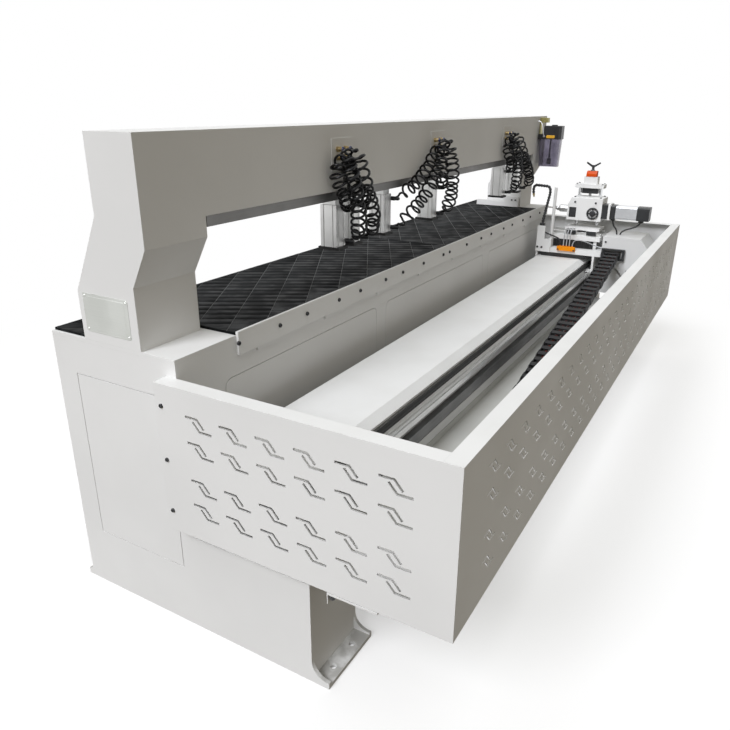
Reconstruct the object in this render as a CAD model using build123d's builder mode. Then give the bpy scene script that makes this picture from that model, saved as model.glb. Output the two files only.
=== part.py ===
from build123d import *
import os
from math import cos, pi, sin, sqrt

os.makedirs("parts", exist_ok=True)

# Overall size in millimetres: X along the machine, Y towards the operator, Z up
overall_length = 3467.0
overall_depth = 1346.0
guard_flange = 47.0
near_guard_x = -overall_length / 2
far_base_x = overall_length / 2
near_base_x = near_guard_x + guard_flange
base_mid_x = (near_base_x + far_base_x) / 2
guard_outer_y = -overall_depth / 2
operator_foot_y = overall_depth / 2

# End frames
end_plate = 12.0
frame_wall = 10.0
pedestal_depth = 232.0
pedestal_top = 330.0
drill_leg_y = -250.0
drill_foot_y = -306.0
toe_height = 20.0
toe_radius = 50.0
operator_toe = 19.0
anchor_radius = 9.0
anchor_spacing = 100.0

# Bed
bed_drill_y = 159.0
bed_operator_y = operator_foot_y - operator_toe
bed_plate_z = 866.0
bed_top_z = 878.0
bed_wall = 8.0
mat_top_z = 886.0
stop_x = (1480.0, 1492.0)
stop_y = (284.0, 384.0, 569.0)
stop_z = (916.0, 948.0)

# Flush covers lie in pockets with an open groove round them
cover_thickness = 3.5
pocket_depth = 4.0
groove = 2.0
cover_lap = 20.0
end_cover_y = (211.0, 567.0)
end_cover_z = (208.0, 758.0)
wall_cover_x = [(-1501.5, -612.0), (-531.0, 555.0), (640.0, 1500.0)]
wall_cover_z = (390.0, 755.0)
wall_cover_radius = 25.0

# Columns and beam
column_width = 226.0
column_wall = 10.0
column_top = 1439.0
beam_drill_y = 222.0
beam_operator_y = 394.0
beam_bottom = 1216.0
beam_wall = 8.0

# Clamp rail and clamps
rail_mid_y = 283.0
rail_width = 100.0
rail_height = 33.0
rail_wall = 5.0
rail_slot = 30.0
rail_inset = 240.0
clamp_x = [-730.0, -621.0, -369.0, 90.0, 1061.0, 1335.0]
post_x = 61.0
post_y = 69.0
post_bottom = 1006.0
post_top = 1160.0
port_z = [1140.0, 1022.0]
port_reach = 37.5
port_mouth_y = 250.0
pad_size = (66.0, 90.0, 10.0)
press_bar = 130.0

# Hose plates on the beam, each with two by two fittings
hose_plate_x = [-828.5, -28.5, 908.5]
hose_plate_size = (144.0, 109.0)
hose_plate_top = 1394.0
hose_plate_thickness = 2.5
fitting_offset_x = [36.0, 84.0]
fitting_z = [1358.0, 1330.0]
fitting_mouth_y = 198.0

# Coiled air hoses: tube, coil and the bent axis of each coil, for the upper and the lower port
hose_tube = 8.0
coil_radius = 23.0
coil_turns = 3
hose_straight = 12.0
coil_start_x = [[-32.0, 38.0], [-8.0, 60.0]]
coil_start_y = [186.0, 136.0]
coil_start_z = [1300.0, 1312.0]
coil_bend_share = 0.4
coil_bend_y = [184.0, 128.0]
coil_bend_z = [1242.0, 1190.0]
coil_end_y = [187.0, 178.0]
coil_end_z = [1188.0, 1066.0]
coil_lead_x = [90.0, 15.0]
coil_phase = [0.25 * pi, 0.0]

# Cables and air lines of the head
line_tube = 6.0
cable_tube = 9.0

# Guard sheets
sheet = 3.0
guard_bottom = 380.0
guard_top = 828.0
near_guard_left_y = 195.0
bottom_flange = 30.0
vent_pitch = 113.8
vent_rows = [737.0, 662.0, 549.0, 474.0]
vent_half_width = 2.6

# X beam, its cover and the rails on its sides
x_beam_y = (-221.0, 40.0)
x_beam_top = 590.0
x_beam_x = (near_base_x + 2.0, 1660.0)
cover_y = (-215.0, 70.0)
cover_slope = (31.0, 22.0)
cover_top = 630.0
cover_drop = 30.0
rail_size = 22.0
x_rail_z = 541.0
tray_x = (-1420.0, 1480.0)
tray_z = 360.0

# Carriage, in the place it holds in the photo
carriage_x = (1298.5, 1583.5)
saddle_z = (655.0, 685.0)
saddle_y = (-304.0, 92.0)
box_x = (1313.0, 1577.0)
chain_y = (-416.0, -328.0)
chain_pitch = 52.0
chain_height = 35.0

# Head
head_x = (1381.0, 1521.0)
head_y = (-262.0, -58.0)
head_z = (850.0, 985.0)
head_shoulder = (22.0, 45.0)
spindle_x = 1415.0
spindle_z = 911.0
spindle_radius = 22.0
lift_x = 1485.0
lift_y = -161.0
post_radius = 10.0
post_offset = 62.0
screw_radius = 8.0
running_fit = 0.05
servo_size = 80.0


def block(x_range, y_range, z_range, mode=Mode.ADD):
    """Rectangular block between three pairs of limits."""
    limits = (x_range, y_range, z_range)
    centre = tuple((low + high) / 2 for low, high in limits)
    size = tuple(high - low for low, high in limits)
    with Locations(centre):
        Box(*size, mode=mode)


def prism(plane, points, amount, mode=Mode.ADD):
    """Closed outline on a plane, pushed along the plane's normal."""
    with BuildSketch(plane) as outline:
        with BuildLine():
            Polyline(*points, close=True)
        make_face()
    extrude(outline.sketch, amount=amount, mode=mode)


def side_plane(y):
    """Upright plane seen from the drill side: local axes X and Z."""
    return Plane(origin=(0, y, 0), x_dir=(1, 0, 0), z_dir=(0, -1, 0))


def end_plane(x):
    """Upright plane seen from the near end: local axes -Y and Z."""
    return Plane(origin=(x, 0, 0), x_dir=(0, -1, 0), z_dir=(-1, 0, 0))


def end_sheet(x, thickness, upper_points):
    """Upright sheet across the machine with a concave toe at each foot."""
    drill_bend = (drill_leg_y, toe_height + toe_radius)
    drill_toe = (drill_leg_y - toe_radius, toe_height)
    operator_bend = (operator_foot_y, toe_height)
    operator_side = (bed_operator_y, toe_height + operator_toe)
    with BuildSketch(Plane.YZ.offset(x)) as outline:
        with BuildLine():
            TangentArc(drill_bend, drill_toe, tangent=(0, -1))
            Polyline(
                drill_toe,
                (drill_foot_y, toe_height),
                (drill_foot_y, 0),
                (operator_foot_y, 0),
                operator_bend,
            )
            TangentArc(operator_bend, operator_side, tangent=(-1, 0))
            Polyline(operator_side, *upper_points, drill_bend)
        make_face()
    extrude(outline.sketch, amount=thickness)


# Near end frame: L-shaped end plate, low pedestal behind it, floor plate with anchor holes
pedestal_x = (near_base_x + end_plate, near_base_x + pedestal_depth)
with BuildPart() as near_end_frame:
    end_sheet(
        near_base_x,
        end_plate,
        [
            (bed_operator_y, bed_plate_z),
            (bed_drill_y, bed_plate_z),
            (bed_drill_y, pedestal_top),
            (drill_leg_y, pedestal_top),
        ],
    )
    end_sheet(
        pedestal_x[1] - frame_wall,
        frame_wall,
        [(bed_operator_y, pedestal_top), (drill_leg_y, pedestal_top)],
    )
    block(pedestal_x, (drill_leg_y, bed_operator_y), (0, pedestal_top))
    block(pedestal_x, (drill_foot_y, drill_leg_y), (0, end_plate))
    block(
        (pedestal_x[0], pedestal_x[1] - frame_wall),
        (drill_leg_y + frame_wall, bed_operator_y - frame_wall),
        (end_plate, pedestal_top - frame_wall),
        Mode.SUBTRACT,
    )
    block(
        (near_base_x, near_base_x + pocket_depth),
        (end_cover_y[0] - groove, end_cover_y[1] + groove),
        (end_cover_z[0] - groove, end_cover_z[1] + groove),
        Mode.SUBTRACT,
    )
    block(
        (near_base_x, near_base_x + end_plate),
        (end_cover_y[0] + cover_lap, end_cover_y[1] - cover_lap),
        (end_cover_z[0] + cover_lap, end_cover_z[1] - cover_lap),
        Mode.SUBTRACT,
    )
    anchor_mid = near_base_x + pedestal_depth / 2
    with Locations((anchor_mid, (drill_leg_y + drill_foot_y) / 2, end_plate)):
        with GridLocations(anchor_spacing, 0, 2, 1):
            Hole(radius=anchor_radius, depth=end_plate)
near_end_frame.part.label = "near_end_frame"
export_step(near_end_frame.part, "parts/near_end_frame.step")

with BuildPart() as far_end_frame:
    mirror(near_end_frame.part, about=Plane.YZ.offset(base_mid_x))
far_end_frame.part.label = "far_end_frame"
export_step(far_end_frame.part, "parts/far_end_frame.step")

# Bed: top plate over everything, one wall on each side
with BuildPart() as bed_top:
    block((near_base_x, far_base_x), (bed_drill_y, bed_operator_y), (bed_plate_z, bed_top_z))
bed_top.part.label = "bed_top"
export_step(bed_top.part, "parts/bed_top.step")

wall_x = (near_base_x + end_plate, far_base_x - end_plate)
wall_cover_mid_z = (wall_cover_z[0] + wall_cover_z[1]) / 2
wall_cover_height = wall_cover_z[1] - wall_cover_z[0]
with BuildPart() as bed_walls:
    block(wall_x, (bed_drill_y, bed_drill_y + bed_wall), (pedestal_top, bed_plate_z))
    with BuildSketch(side_plane(bed_drill_y)):
        for start, end in wall_cover_x:
            with Locations(((start + end) / 2, wall_cover_mid_z)):
                RectangleRounded(
                    end - start + 2 * groove,
                    wall_cover_height + 2 * groove,
                    wall_cover_radius + groove,
                )
    extrude(amount=-pocket_depth, mode=Mode.SUBTRACT)
    with BuildSketch(side_plane(bed_drill_y)):
        for start, end in wall_cover_x:
            with Locations(((start + end) / 2, wall_cover_mid_z)):
                Rectangle(end - start - 2 * cover_lap, wall_cover_height - 2 * cover_lap)
    extrude(amount=-bed_wall, mode=Mode.SUBTRACT)
    block(wall_x, (bed_operator_y - bed_wall, bed_operator_y), (pedestal_top, bed_plate_z))
bed_walls.part.label = "bed_walls"
export_step(bed_walls.part, "parts/bed_walls.step")

# Flush covers in the walls and ends, and the three plates that hold the hose fittings
with BuildPart() as cover_plates:
    for outer_x in (near_base_x, far_base_x):
        inner_x = outer_x + (cover_thickness if outer_x < 0 else -cover_thickness)
        block((min(outer_x, inner_x), max(outer_x, inner_x)), end_cover_y, end_cover_z)
    with BuildSketch(side_plane(bed_drill_y)):
        for start, end in wall_cover_x:
            with Locations(((start + end) / 2, wall_cover_mid_z)):
                RectangleRounded(end - start, wall_cover_height, wall_cover_radius)
    extrude(amount=-cover_thickness)
    for plate_x in hose_plate_x:
        block(
            (plate_x, plate_x + hose_plate_size[0]),
            (beam_drill_y - hose_plate_thickness, beam_drill_y),
            (hose_plate_top - hose_plate_size[1], hose_plate_top),
        )
cover_plates.part.label = "cover_plates"
export_step(cover_plates.part, "parts/cover_plates.step")

# Ribbed mat on the table, cut round the side stop and the feet of the columns
mat_x = (near_base_x + 10, far_base_x - 10)
mat_inner_x = (near_base_x + 242, far_base_x - 242)
mat_y = (bed_drill_y + 1, 513, bed_operator_y - 2)
stop_gap_x = (stop_x[0] - 1, stop_x[1] + 1)
stop_gap_y = (stop_y[0] - 1, stop_y[2] + 1)
with BuildPart() as table_mat:
    prism(
        Plane.XY.offset(bed_top_z),
        [
            (mat_inner_x[0], mat_y[0]),
            (mat_inner_x[1], mat_y[0]),
            (mat_inner_x[1], stop_gap_y[0]),
            (stop_gap_x[0], stop_gap_y[0]),
            (stop_gap_x[0], stop_gap_y[1]),
            (stop_gap_x[1], stop_gap_y[1]),
            (stop_gap_x[1], mat_y[1]),
            (mat_x[1], mat_y[1]),
            (mat_x[1], mat_y[2]),
            (mat_x[0], mat_y[2]),
            (mat_x[0], mat_y[1]),
            (mat_inner_x[0], mat_y[1]),
        ],
        mat_top_z - bed_top_z,
    )
table_mat.part.label = "table_mat"
export_step(table_mat.part, "parts/table_mat.step")

# Edge fence with tabs under it
fence_y = (bed_drill_y - 10, bed_drill_y)
fence_z = (818.0, 889.0)
with BuildPart() as table_fences:
    block((near_base_x + 242, far_base_x - 68), fence_y, fence_z)
    for i in range(8):
        tab_x = near_base_x + 330 + i * 370
        block((tab_x, tab_x + 180), (fence_y[1] - 6, fence_y[1]), (fence_z[0] - 12, fence_z[0]))
table_fences.part.label = "table_fences"
export_step(table_fences.part, "parts/table_fences.step")

# Side stop across the table, with a tall end
with BuildPart() as side_stop:
    prism(
        Plane.YZ.offset(stop_x[0]),
        [
            (stop_y[0], bed_top_z),
            (stop_y[2], bed_top_z),
            (stop_y[2], stop_z[0]),
            (stop_y[1], stop_z[0]),
            (stop_y[1], stop_z[1]),
            (stop_y[0], stop_z[1]),
        ],
        stop_x[1] - stop_x[0],
    )
side_stop.part.label = "side_stop"
export_step(side_stop.part, "parts/side_stop.step")

# Columns: kinked hollow boxes, wide at the foot and set over to the drill side above
column_outline = [
    (281, bed_top_z),
    (507, bed_top_z),
    (507, 1019),
    (beam_operator_y, 1231),
    (beam_operator_y, column_top),
    (beam_drill_y, column_top),
    (beam_drill_y, 1159),
    (281, 1054),
]
with BuildPart() as columns:
    for foot_x in (near_base_x, far_base_x - column_width):
        prism(Plane.YZ.offset(foot_x), column_outline, column_width)
        with BuildSketch(Plane.YZ.offset(foot_x + column_wall)) as hollow:
            with BuildLine():
                Polyline(*column_outline, close=True)
            make_face()
            offset(amount=-column_wall, kind=Kind.INTERSECTION, mode=Mode.REPLACE)
        extrude(hollow.sketch, amount=column_width - 2 * column_wall, mode=Mode.SUBTRACT)
        block(
            (foot_x + column_wall, foot_x + column_width - column_wall),
            (281 + column_wall, 507 - column_wall),
            (bed_top_z, bed_top_z + column_wall),
            Mode.SUBTRACT,
        )
columns.part.label = "columns"
export_step(columns.part, "parts/columns.step")

# Beam: box section between the columns
beam_x = (near_base_x + column_width, far_base_x - column_width)
beam_mid = ((beam_drill_y + beam_operator_y) / 2, (beam_bottom + column_top) / 2)
beam_size = (beam_operator_y - beam_drill_y, column_top - beam_bottom)
with BuildPart() as top_beam:
    with BuildSketch(Plane.YZ.offset(beam_x[0])):
        with Locations(beam_mid):
            Rectangle(*beam_size)
            Rectangle(
                beam_size[0] - 2 * beam_wall,
                beam_size[1] - 2 * beam_wall,
                mode=Mode.SUBTRACT,
            )
    extrude(amount=beam_x[1] - beam_x[0])
top_beam.part.label = "top_beam"
export_step(top_beam.part, "parts/top_beam.step")

# Clamp rail: C section under the beam, slot downwards
rail_y = (rail_mid_y - rail_width / 2, rail_mid_y + rail_width / 2)
rail_bottom = beam_bottom - rail_height
slot_y = (rail_mid_y - rail_slot / 2, rail_mid_y + rail_slot / 2)
with BuildPart() as clamp_rail:
    prism(
        Plane.YZ.offset(near_base_x + rail_inset),
        [
            (rail_y[0], rail_bottom),
            (slot_y[0], rail_bottom),
            (slot_y[0], rail_bottom + rail_wall),
            (rail_y[0] + rail_wall, rail_bottom + rail_wall),
            (rail_y[0] + rail_wall, beam_bottom - rail_wall),
            (rail_y[1] - rail_wall, beam_bottom - rail_wall),
            (rail_y[1] - rail_wall, rail_bottom + rail_wall),
            (slot_y[1], rail_bottom + rail_wall),
            (slot_y[1], rail_bottom),
            (rail_y[1], rail_bottom),
            (rail_y[1], beam_bottom),
            (rail_y[0], beam_bottom),
        ],
        far_base_x - near_base_x - 2 * rail_inset,
    )
clamp_rail.part.label = "clamp_rail"
export_step(clamp_rail.part, "parts/clamp_rail.step")

# Brass fittings: hexagon body and push-in collar
fitting_mids = [
    (plate_x + offset_x, z)
    for plate_x in hose_plate_x
    for offset_x in fitting_offset_x
    for z in fitting_z
]
plate_face_y = beam_drill_y - hose_plate_thickness
with BuildPart() as hose_fittings:
    with BuildSketch(side_plane(plate_face_y)):
        with Locations(*fitting_mids):
            RegularPolygon(radius=10, side_count=6)
    extrude(amount=12)
    with BuildSketch(side_plane(plate_face_y - 12)):
        with Locations(*fitting_mids):
            RegularPolygon(radius=7.5, side_count=6)
    extrude(amount=plate_face_y - 12 - fitting_mouth_y)
hose_fittings.part.label = "hose_fittings"
export_step(hose_fittings.part, "parts/hose_fittings.step")

# Lubricator: bracket on the beam, stepped head, tapered reservoir below
pump_x = (1553.0, 1640.0)
pump_y = (74.0, 215.0)
pump_z = (1140.0, 1305.0, 1384.0)
pump_corner = 14.0
cup_draft = 6.0
with BuildPart() as pump_bracket:
    block((pump_x[1] - 48, pump_x[1] - 8), (pump_y[1], beam_drill_y), (1310, 1430))
    block((pump_x[1] - 48, pump_x[1] - 8), (pump_y[1] - 42, beam_drill_y), (1402, 1430))
pump_bracket.part.label = "pump_bracket"
export_step(pump_bracket.part, "parts/pump_bracket.step")

with BuildPart() as pump_head:
    prism(
        Plane.YZ.offset(pump_x[0]),
        [
            (pump_y[0], pump_z[1]),
            (pump_y[1], pump_z[1]),
            (pump_y[1], pump_z[2] - 50),
            (pump_y[1] - 33, pump_z[2] - 50),
            (pump_y[1] - 33, pump_z[2]),
            (pump_y[0], pump_z[2]),
        ],
        pump_x[1] - pump_x[0],
    )
    front_edges = pump_head.edges().filter_by(Axis.Z).group_by(Axis.Y)[0]
    chamfer(front_edges, pump_corner)
    with Locations(((pump_x[0] + pump_x[1]) / 2, pump_y[0] + 54, pump_z[2] + 3)):
        Cylinder(radius=18, height=6)
pump_head.part.label = "pump_head"
export_step(pump_head.part, "parts/pump_head.step")

with BuildPart() as pump_reservoir:
    cup_x = (pump_x[0] + 4, pump_x[1] - 4)
    cup_y = (pump_y[0] + 6, pump_y[1] - 6)
    prism(
        Plane.YZ.offset(cup_x[0]),
        [
            (cup_y[0], pump_z[1]),
            (cup_y[1], pump_z[1]),
            (cup_y[1] - cup_draft, pump_z[0]),
            (cup_y[0] + cup_draft, pump_z[0]),
        ],
        cup_x[1] - cup_x[0],
    )
    prism(
        side_plane(cup_y[1]),
        [
            (cup_x[0], pump_z[1]),
            (cup_x[1], pump_z[1]),
            (cup_x[1] - cup_draft, pump_z[0]),
            (cup_x[0] + cup_draft, pump_z[0]),
        ],
        cup_y[1] - cup_y[0],
        Mode.INTERSECT,
    )
pump_reservoir.part.label = "pump_reservoir"
export_step(pump_reservoir.part, "parts/pump_reservoir.step")


# Guard vents: two bent slots in each place, the lower one the upper one turned half round
def bent_slot():
    """Outline of a slot that runs level and then bends down to the right."""
    level = [(-42.5, 17.0), (-3.5, 17.0), (17.5, -7.0)]
    run = (level[2][0] - level[1][0], level[2][1] - level[1][1])
    length = sqrt(run[0] ** 2 + run[1] ** 2)
    normal = (-run[1] / length, run[0] / length)
    mitre = (normal[0] / (1 + normal[1]), 1.0)
    w = vent_half_width
    return [
        (level[0][0], level[0][1] + w),
        (level[1][0] + mitre[0] * w, level[1][1] + mitre[1] * w),
        (level[2][0] + normal[0] * w, level[2][1] + normal[1] * w),
        (level[2][0] - normal[0] * w, level[2][1] - normal[1] * w),
        (level[1][0] - mitre[0] * w, level[1][1] - mitre[1] * w),
        (level[0][0], level[0][1] - w),
    ]


def vented_sheet(plane, u_range, vent_columns):
    """Upright guard sheet with its vents, sheet thickness inwards from the plane."""
    slots = [(u, z) for u in vent_columns for z in vent_rows]
    with BuildSketch(plane) as web:
        with Locations(((u_range[0] + u_range[1]) / 2, (guard_bottom + guard_top) / 2)):
            Rectangle(u_range[1] - u_range[0], guard_top - guard_bottom)
        with Locations(*slots):
            with Locations((0, 0), Location((0, 0, 0), (0, 0, 180))):
                Polygon(*bent_slot(), align=None, mode=Mode.SUBTRACT)
    extrude(web.sketch, amount=-sheet)


near_flange_x = (near_guard_x + sheet, near_base_x)
flange_inner_y = guard_outer_y + guard_flange
with BuildPart() as guard_near:
    vented_sheet(
        end_plane(near_guard_x),
        (-near_guard_left_y, -guard_outer_y),
        [-48.0 + i * vent_pitch for i in range(6)],
    )
    block(near_flange_x, (flange_inner_y, near_guard_left_y), (guard_top - sheet, guard_top))
    block(near_flange_x, (flange_inner_y, near_guard_left_y), (guard_bottom, guard_bottom + sheet))
    block(
        near_flange_x,
        (near_guard_left_y - sheet, near_guard_left_y),
        (guard_bottom + sheet, guard_top - sheet),
    )
guard_near.part.label = "guard_near"
export_step(guard_near.part, "parts/guard_near.step")

far_guard_x = far_base_x - 47.0
side_flange_x = (near_guard_x + sheet, far_guard_x - sheet)
with BuildPart() as guard_side:
    vented_sheet(
        side_plane(guard_outer_y),
        side_flange_x,
        [near_base_x + 150 + i * vent_pitch for i in range(28)],
    )
    block(
        side_flange_x,
        (guard_outer_y + sheet, flange_inner_y),
        (guard_top - sheet, guard_top),
    )
    block(
        side_flange_x,
        (guard_outer_y + sheet, guard_outer_y + bottom_flange),
        (guard_bottom, guard_bottom + sheet),
    )
    for bracket_x in (near_base_x + 10, far_base_x - 130):
        prism(
            Plane.YZ.offset(bracket_x),
            [
                (guard_outer_y + sheet, guard_bottom),
                (guard_outer_y + sheet, guard_bottom - 6),
                (drill_leg_y, guard_bottom - 6),
                (drill_leg_y, pedestal_top),
                (drill_leg_y + 12, pedestal_top),
                (drill_leg_y + 12, guard_bottom),
            ],
            50,
        )
guard_side.part.label = "guard_side"
export_step(guard_side.part, "parts/guard_side.step")

with BuildPart() as guard_far:
    block(
        (far_guard_x - sheet, far_guard_x),
        (guard_outer_y, bed_drill_y),
        (guard_bottom, guard_top),
    )
    block(
        (far_guard_x - guard_flange, far_guard_x - sheet),
        (flange_inner_y, fence_y[0] - 2),
        (guard_top - sheet, guard_top),
    )
guard_far.part.label = "guard_far"
export_step(guard_far.part, "parts/guard_far.step")

# X beam: box section on the pedestals, with ribs that carry the cover
x_beam_mid = ((x_beam_y[0] + x_beam_y[1]) / 2, (pedestal_top + x_beam_top) / 2)
x_beam_size = (x_beam_y[1] - x_beam_y[0], x_beam_top - pedestal_top)
with BuildPart() as x_beam:
    with BuildSketch(Plane.YZ.offset(x_beam_x[0])):
        with Locations(x_beam_mid):
            Rectangle(*x_beam_size)
            Rectangle(x_beam_size[0] - 16, x_beam_size[1] - 16, mode=Mode.SUBTRACT)
    extrude(amount=x_beam_x[1] - x_beam_x[0])
    for i in range(5):
        rib_x = x_beam_x[0] + 10 + i * 820
        block((rib_x, rib_x + 30), (-178, 30), (x_beam_top, cover_top - sheet))
x_beam.part.label = "x_beam"
export_step(x_beam.part, "parts/x_beam.step")

with BuildPart() as beam_cover:
    prism(
        Plane.YZ.offset(x_beam_x[0]),
        [
            (cover_y[0], cover_top - cover_drop),
            (cover_y[0] + sheet, cover_top - cover_drop),
            (cover_y[0] + sheet, cover_top - cover_slope[1] - 0.5 * sheet),
            (cover_y[0] + cover_slope[0] + 0.3 * sheet, cover_top - sheet),
            (cover_y[1] - sheet, cover_top - sheet),
            (cover_y[1] - sheet, cover_top - cover_drop),
            (cover_y[1], cover_top - cover_drop),
            (cover_y[1], cover_top),
            (cover_y[0] + cover_slope[0], cover_top),
            (cover_y[0], cover_top - cover_slope[1]),
        ],
        x_beam_x[1] - x_beam_x[0],
    )
beam_cover.part.label = "beam_cover"
export_step(beam_cover.part, "parts/beam_cover.step")


def rail_outline(base, out, mid):
    """Linear rail section: base on a wall, waist, head pointing along out."""
    shape = [(0, 11), (9, 11), (12, 7), (16, 7), (18, 10), (rail_size, 10)]
    upper = [(base + out * a, mid + b) for a, b in shape]
    lower = [(base + out * a, mid - b) for a, b in reversed(shape)]
    return upper + lower


with BuildPart() as x_rails:
    for base, out in ((x_beam_y[0], -1), (x_beam_y[1], 1)):
        prism(
            Plane.YZ.offset(x_beam_x[0] + 14),
            rail_outline(base, out, x_rail_z),
            x_beam_x[1] - x_beam_x[0] - 28,
        )
x_rails.part.label = "x_rails"
export_step(x_rails.part, "parts/x_rails.step")

with BuildPart() as x_rack:
    block(
        (x_beam_x[0] + 14, x_beam_x[1] - 14),
        (x_beam_y[0] - 25, x_beam_y[0]),
        (452, 498),
    )
x_rack.part.label = "x_rack"
export_step(x_rack.part, "parts/x_rack.step")

# Tray for the cable chain on the side of the X beam, with the anchor of its fixed end
chain_fixed_x = -316.0
with BuildPart() as chain_tray:
    prism(
        Plane.YZ.offset(tray_x[0]),
        [
            (-455, tray_z - sheet),
            (x_beam_y[0], tray_z - sheet),
            (x_beam_y[0], tray_z + 25),
            (x_beam_y[0] - sheet, tray_z + 25),
            (x_beam_y[0] - sheet, tray_z),
            (-455 + sheet, tray_z),
            (-455 + sheet, tray_z + 25),
            (-455, tray_z + 25),
        ],
        tray_x[1] - tray_x[0],
    )
    prism(
        side_plane(chain_y[0]),
        [
            (chain_fixed_x - 70, tray_z),
            (chain_fixed_x - 10, tray_z),
            (chain_fixed_x - 10, tray_z + 40),
            (chain_fixed_x - 22, tray_z + 40),
        ],
        chain_y[0] - chain_y[1],
    )
chain_tray.part.label = "chain_tray"
export_step(chain_tray.part, "parts/chain_tray.step")

# Clamps: grooved cylinder body hung in the rail by a T-shaped runner, elbow ports on one side
runner_gap = 0.6
for number, mid_x in enumerate(clamp_x, start=1):
    with BuildPart() as clamp_body:
        with BuildSketch(Plane.XY.offset(post_bottom)):
            with Locations((mid_x, rail_mid_y)):
                Rectangle(post_x, post_y)
                with GridLocations(post_x, 40, 2, 2):
                    Rectangle(10, 4, mode=Mode.SUBTRACT)
                with GridLocations(36, post_y, 2, 2):
                    Rectangle(4, 10, mode=Mode.SUBTRACT)
        extrude(amount=post_top - post_bottom)
        block(
            (mid_x - 15.5, mid_x + 15.5),
            (rail_mid_y - 9.5, rail_mid_y + 9.5),
            (post_bottom, post_bottom + press_bar + 5),
            Mode.SUBTRACT,
        )
        neck = rail_slot / 2 - runner_gap
        lip_top = rail_bottom + rail_wall
        prism(
            Plane.YZ.offset(mid_x - 25),
            [
                (rail_mid_y - 28, post_top),
                (rail_mid_y + 28, post_top),
                (rail_mid_y + 28, rail_bottom - runner_gap),
                (rail_mid_y + neck, rail_bottom - runner_gap),
                (rail_mid_y + neck, lip_top + runner_gap),
                (rail_mid_y + 36, lip_top + runner_gap),
                (rail_mid_y + 36, beam_bottom - rail_wall - 6),
                (rail_mid_y - 36, beam_bottom - rail_wall - 6),
                (rail_mid_y - 36, lip_top + runner_gap),
                (rail_mid_y - neck, lip_top + runner_gap),
                (rail_mid_y - neck, rail_bottom - runner_gap),
                (rail_mid_y - 28, rail_bottom - runner_gap),
            ],
            50,
        )
        for z in port_z:
            block((mid_x + post_x / 2, mid_x + post_x / 2 + 14), (268, 288), (z - 8, z + 8))
            with BuildSketch(side_plane(268)) as mouth:
                with Locations((mid_x + port_reach, z)):
                    RegularPolygon(radius=6.5, side_count=6)
            extrude(mouth.sketch, amount=268 - port_mouth_y)
    clamp_body.part.label = f"clamp_{number}_body"
    export_step(clamp_body.part, f"parts/clamp_{number}_body.step")

    with BuildPart() as clamp_pad:
        pad_top = post_bottom - 0.5
        block(
            (mid_x - pad_size[0] / 2, mid_x + pad_size[0] / 2),
            (rail_mid_y - pad_size[1] / 2, rail_mid_y + pad_size[1] / 2),
            (pad_top - pad_size[2], pad_top),
        )
        block(
            (mid_x - 15, mid_x + 15),
            (rail_mid_y - 9, rail_mid_y + 9),
            (pad_top, pad_top + press_bar),
        )
    clamp_pad.part.label = f"clamp_{number}_pad"
    export_step(clamp_pad.part, f"parts/clamp_{number}_pad.step")

# Carriage: bridge over the cover with a leg on each side of the X beam
inner_leg_y = (76.0, 88.0)
outer_leg_y = (-269.0, -257.0)
with BuildPart() as saddle:
    block(carriage_x, saddle_y, saddle_z)
    for leg_y in (inner_leg_y, outer_leg_y):
        block(carriage_x, leg_y, (505, saddle_z[0]))
saddle.part.label = "saddle"
export_step(saddle.part, "parts/saddle.step")

with BuildPart() as runner_blocks:
    slack = 0.6
    for leg, out, base in ((inner_leg_y[0], 1, x_beam_y[1]), (outer_leg_y[1], -1, x_beam_y[0])):
        for runner_x in (carriage_x[0] + 12, carriage_x[1] - 92):
            prism(
                Plane.YZ.offset(runner_x),
                [
                    (leg, x_rail_z - 33),
                    (leg, x_rail_z + 33),
                    (base + out * 5, x_rail_z + 33),
                    (base + out * 5, x_rail_z + 11 + slack),
                    (base + out * (rail_size + slack), x_rail_z + 11 + slack),
                    (base + out * (rail_size + slack), x_rail_z - 11 - slack),
                    (base + out * 5, x_rail_z - 11 - slack),
                    (base + out * 5, x_rail_z - 33),
                ],
                80,
            )
runner_blocks.part.label = "runner_blocks"
export_step(runner_blocks.part, "parts/runner_blocks.step")

# Folded box over the X drive, open below, with four slanted slots in its near face
box_outline = [
    (saddle_y[0], 440),
    (saddle_y[0], 779),
    (-515, 779),
    (-560, 725),
    (-560, 440),
]
with BuildPart() as carriage_box:
    prism(Plane.YZ.offset(box_x[0]), box_outline, box_x[1] - box_x[0])
    with BuildSketch(Plane.YZ.offset(box_x[0] + sheet)) as inside:
        with BuildLine():
            Polyline(*box_outline, close=True)
        make_face()
        offset(amount=-sheet, kind=Kind.INTERSECTION, mode=Mode.REPLACE)
    extrude(inside.sketch, amount=box_x[1] - box_x[0] - 2 * sheet, mode=Mode.SUBTRACT)
    block(
        (box_x[0] + sheet, box_x[1] - sheet),
        (-560 + sheet, saddle_y[0] - sheet),
        (440, 440 + sheet),
        Mode.SUBTRACT,
    )
    with BuildSketch(end_plane(box_x[0])) as slots:
        with Locations(*[(396 + i * 14, 592 - i * 15) for i in range(4)]):
            Rectangle(42, 5, rotation=-35)
    extrude(slots.sketch, amount=-sheet, mode=Mode.SUBTRACT)
carriage_box.part.label = "carriage_box"
export_step(carriage_box.part, "parts/carriage_box.step")

with BuildPart() as chain_inlet:
    with BuildSketch(end_plane(box_x[0])):
        with Locations((373.5, 678.5)):
            Rectangle(131, 65)
            Rectangle(104, 47, mode=Mode.SUBTRACT)
    extrude(amount=22)
chain_inlet.part.label = "chain_inlet"
export_step(chain_inlet.part, "parts/chain_inlet.step")

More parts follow.
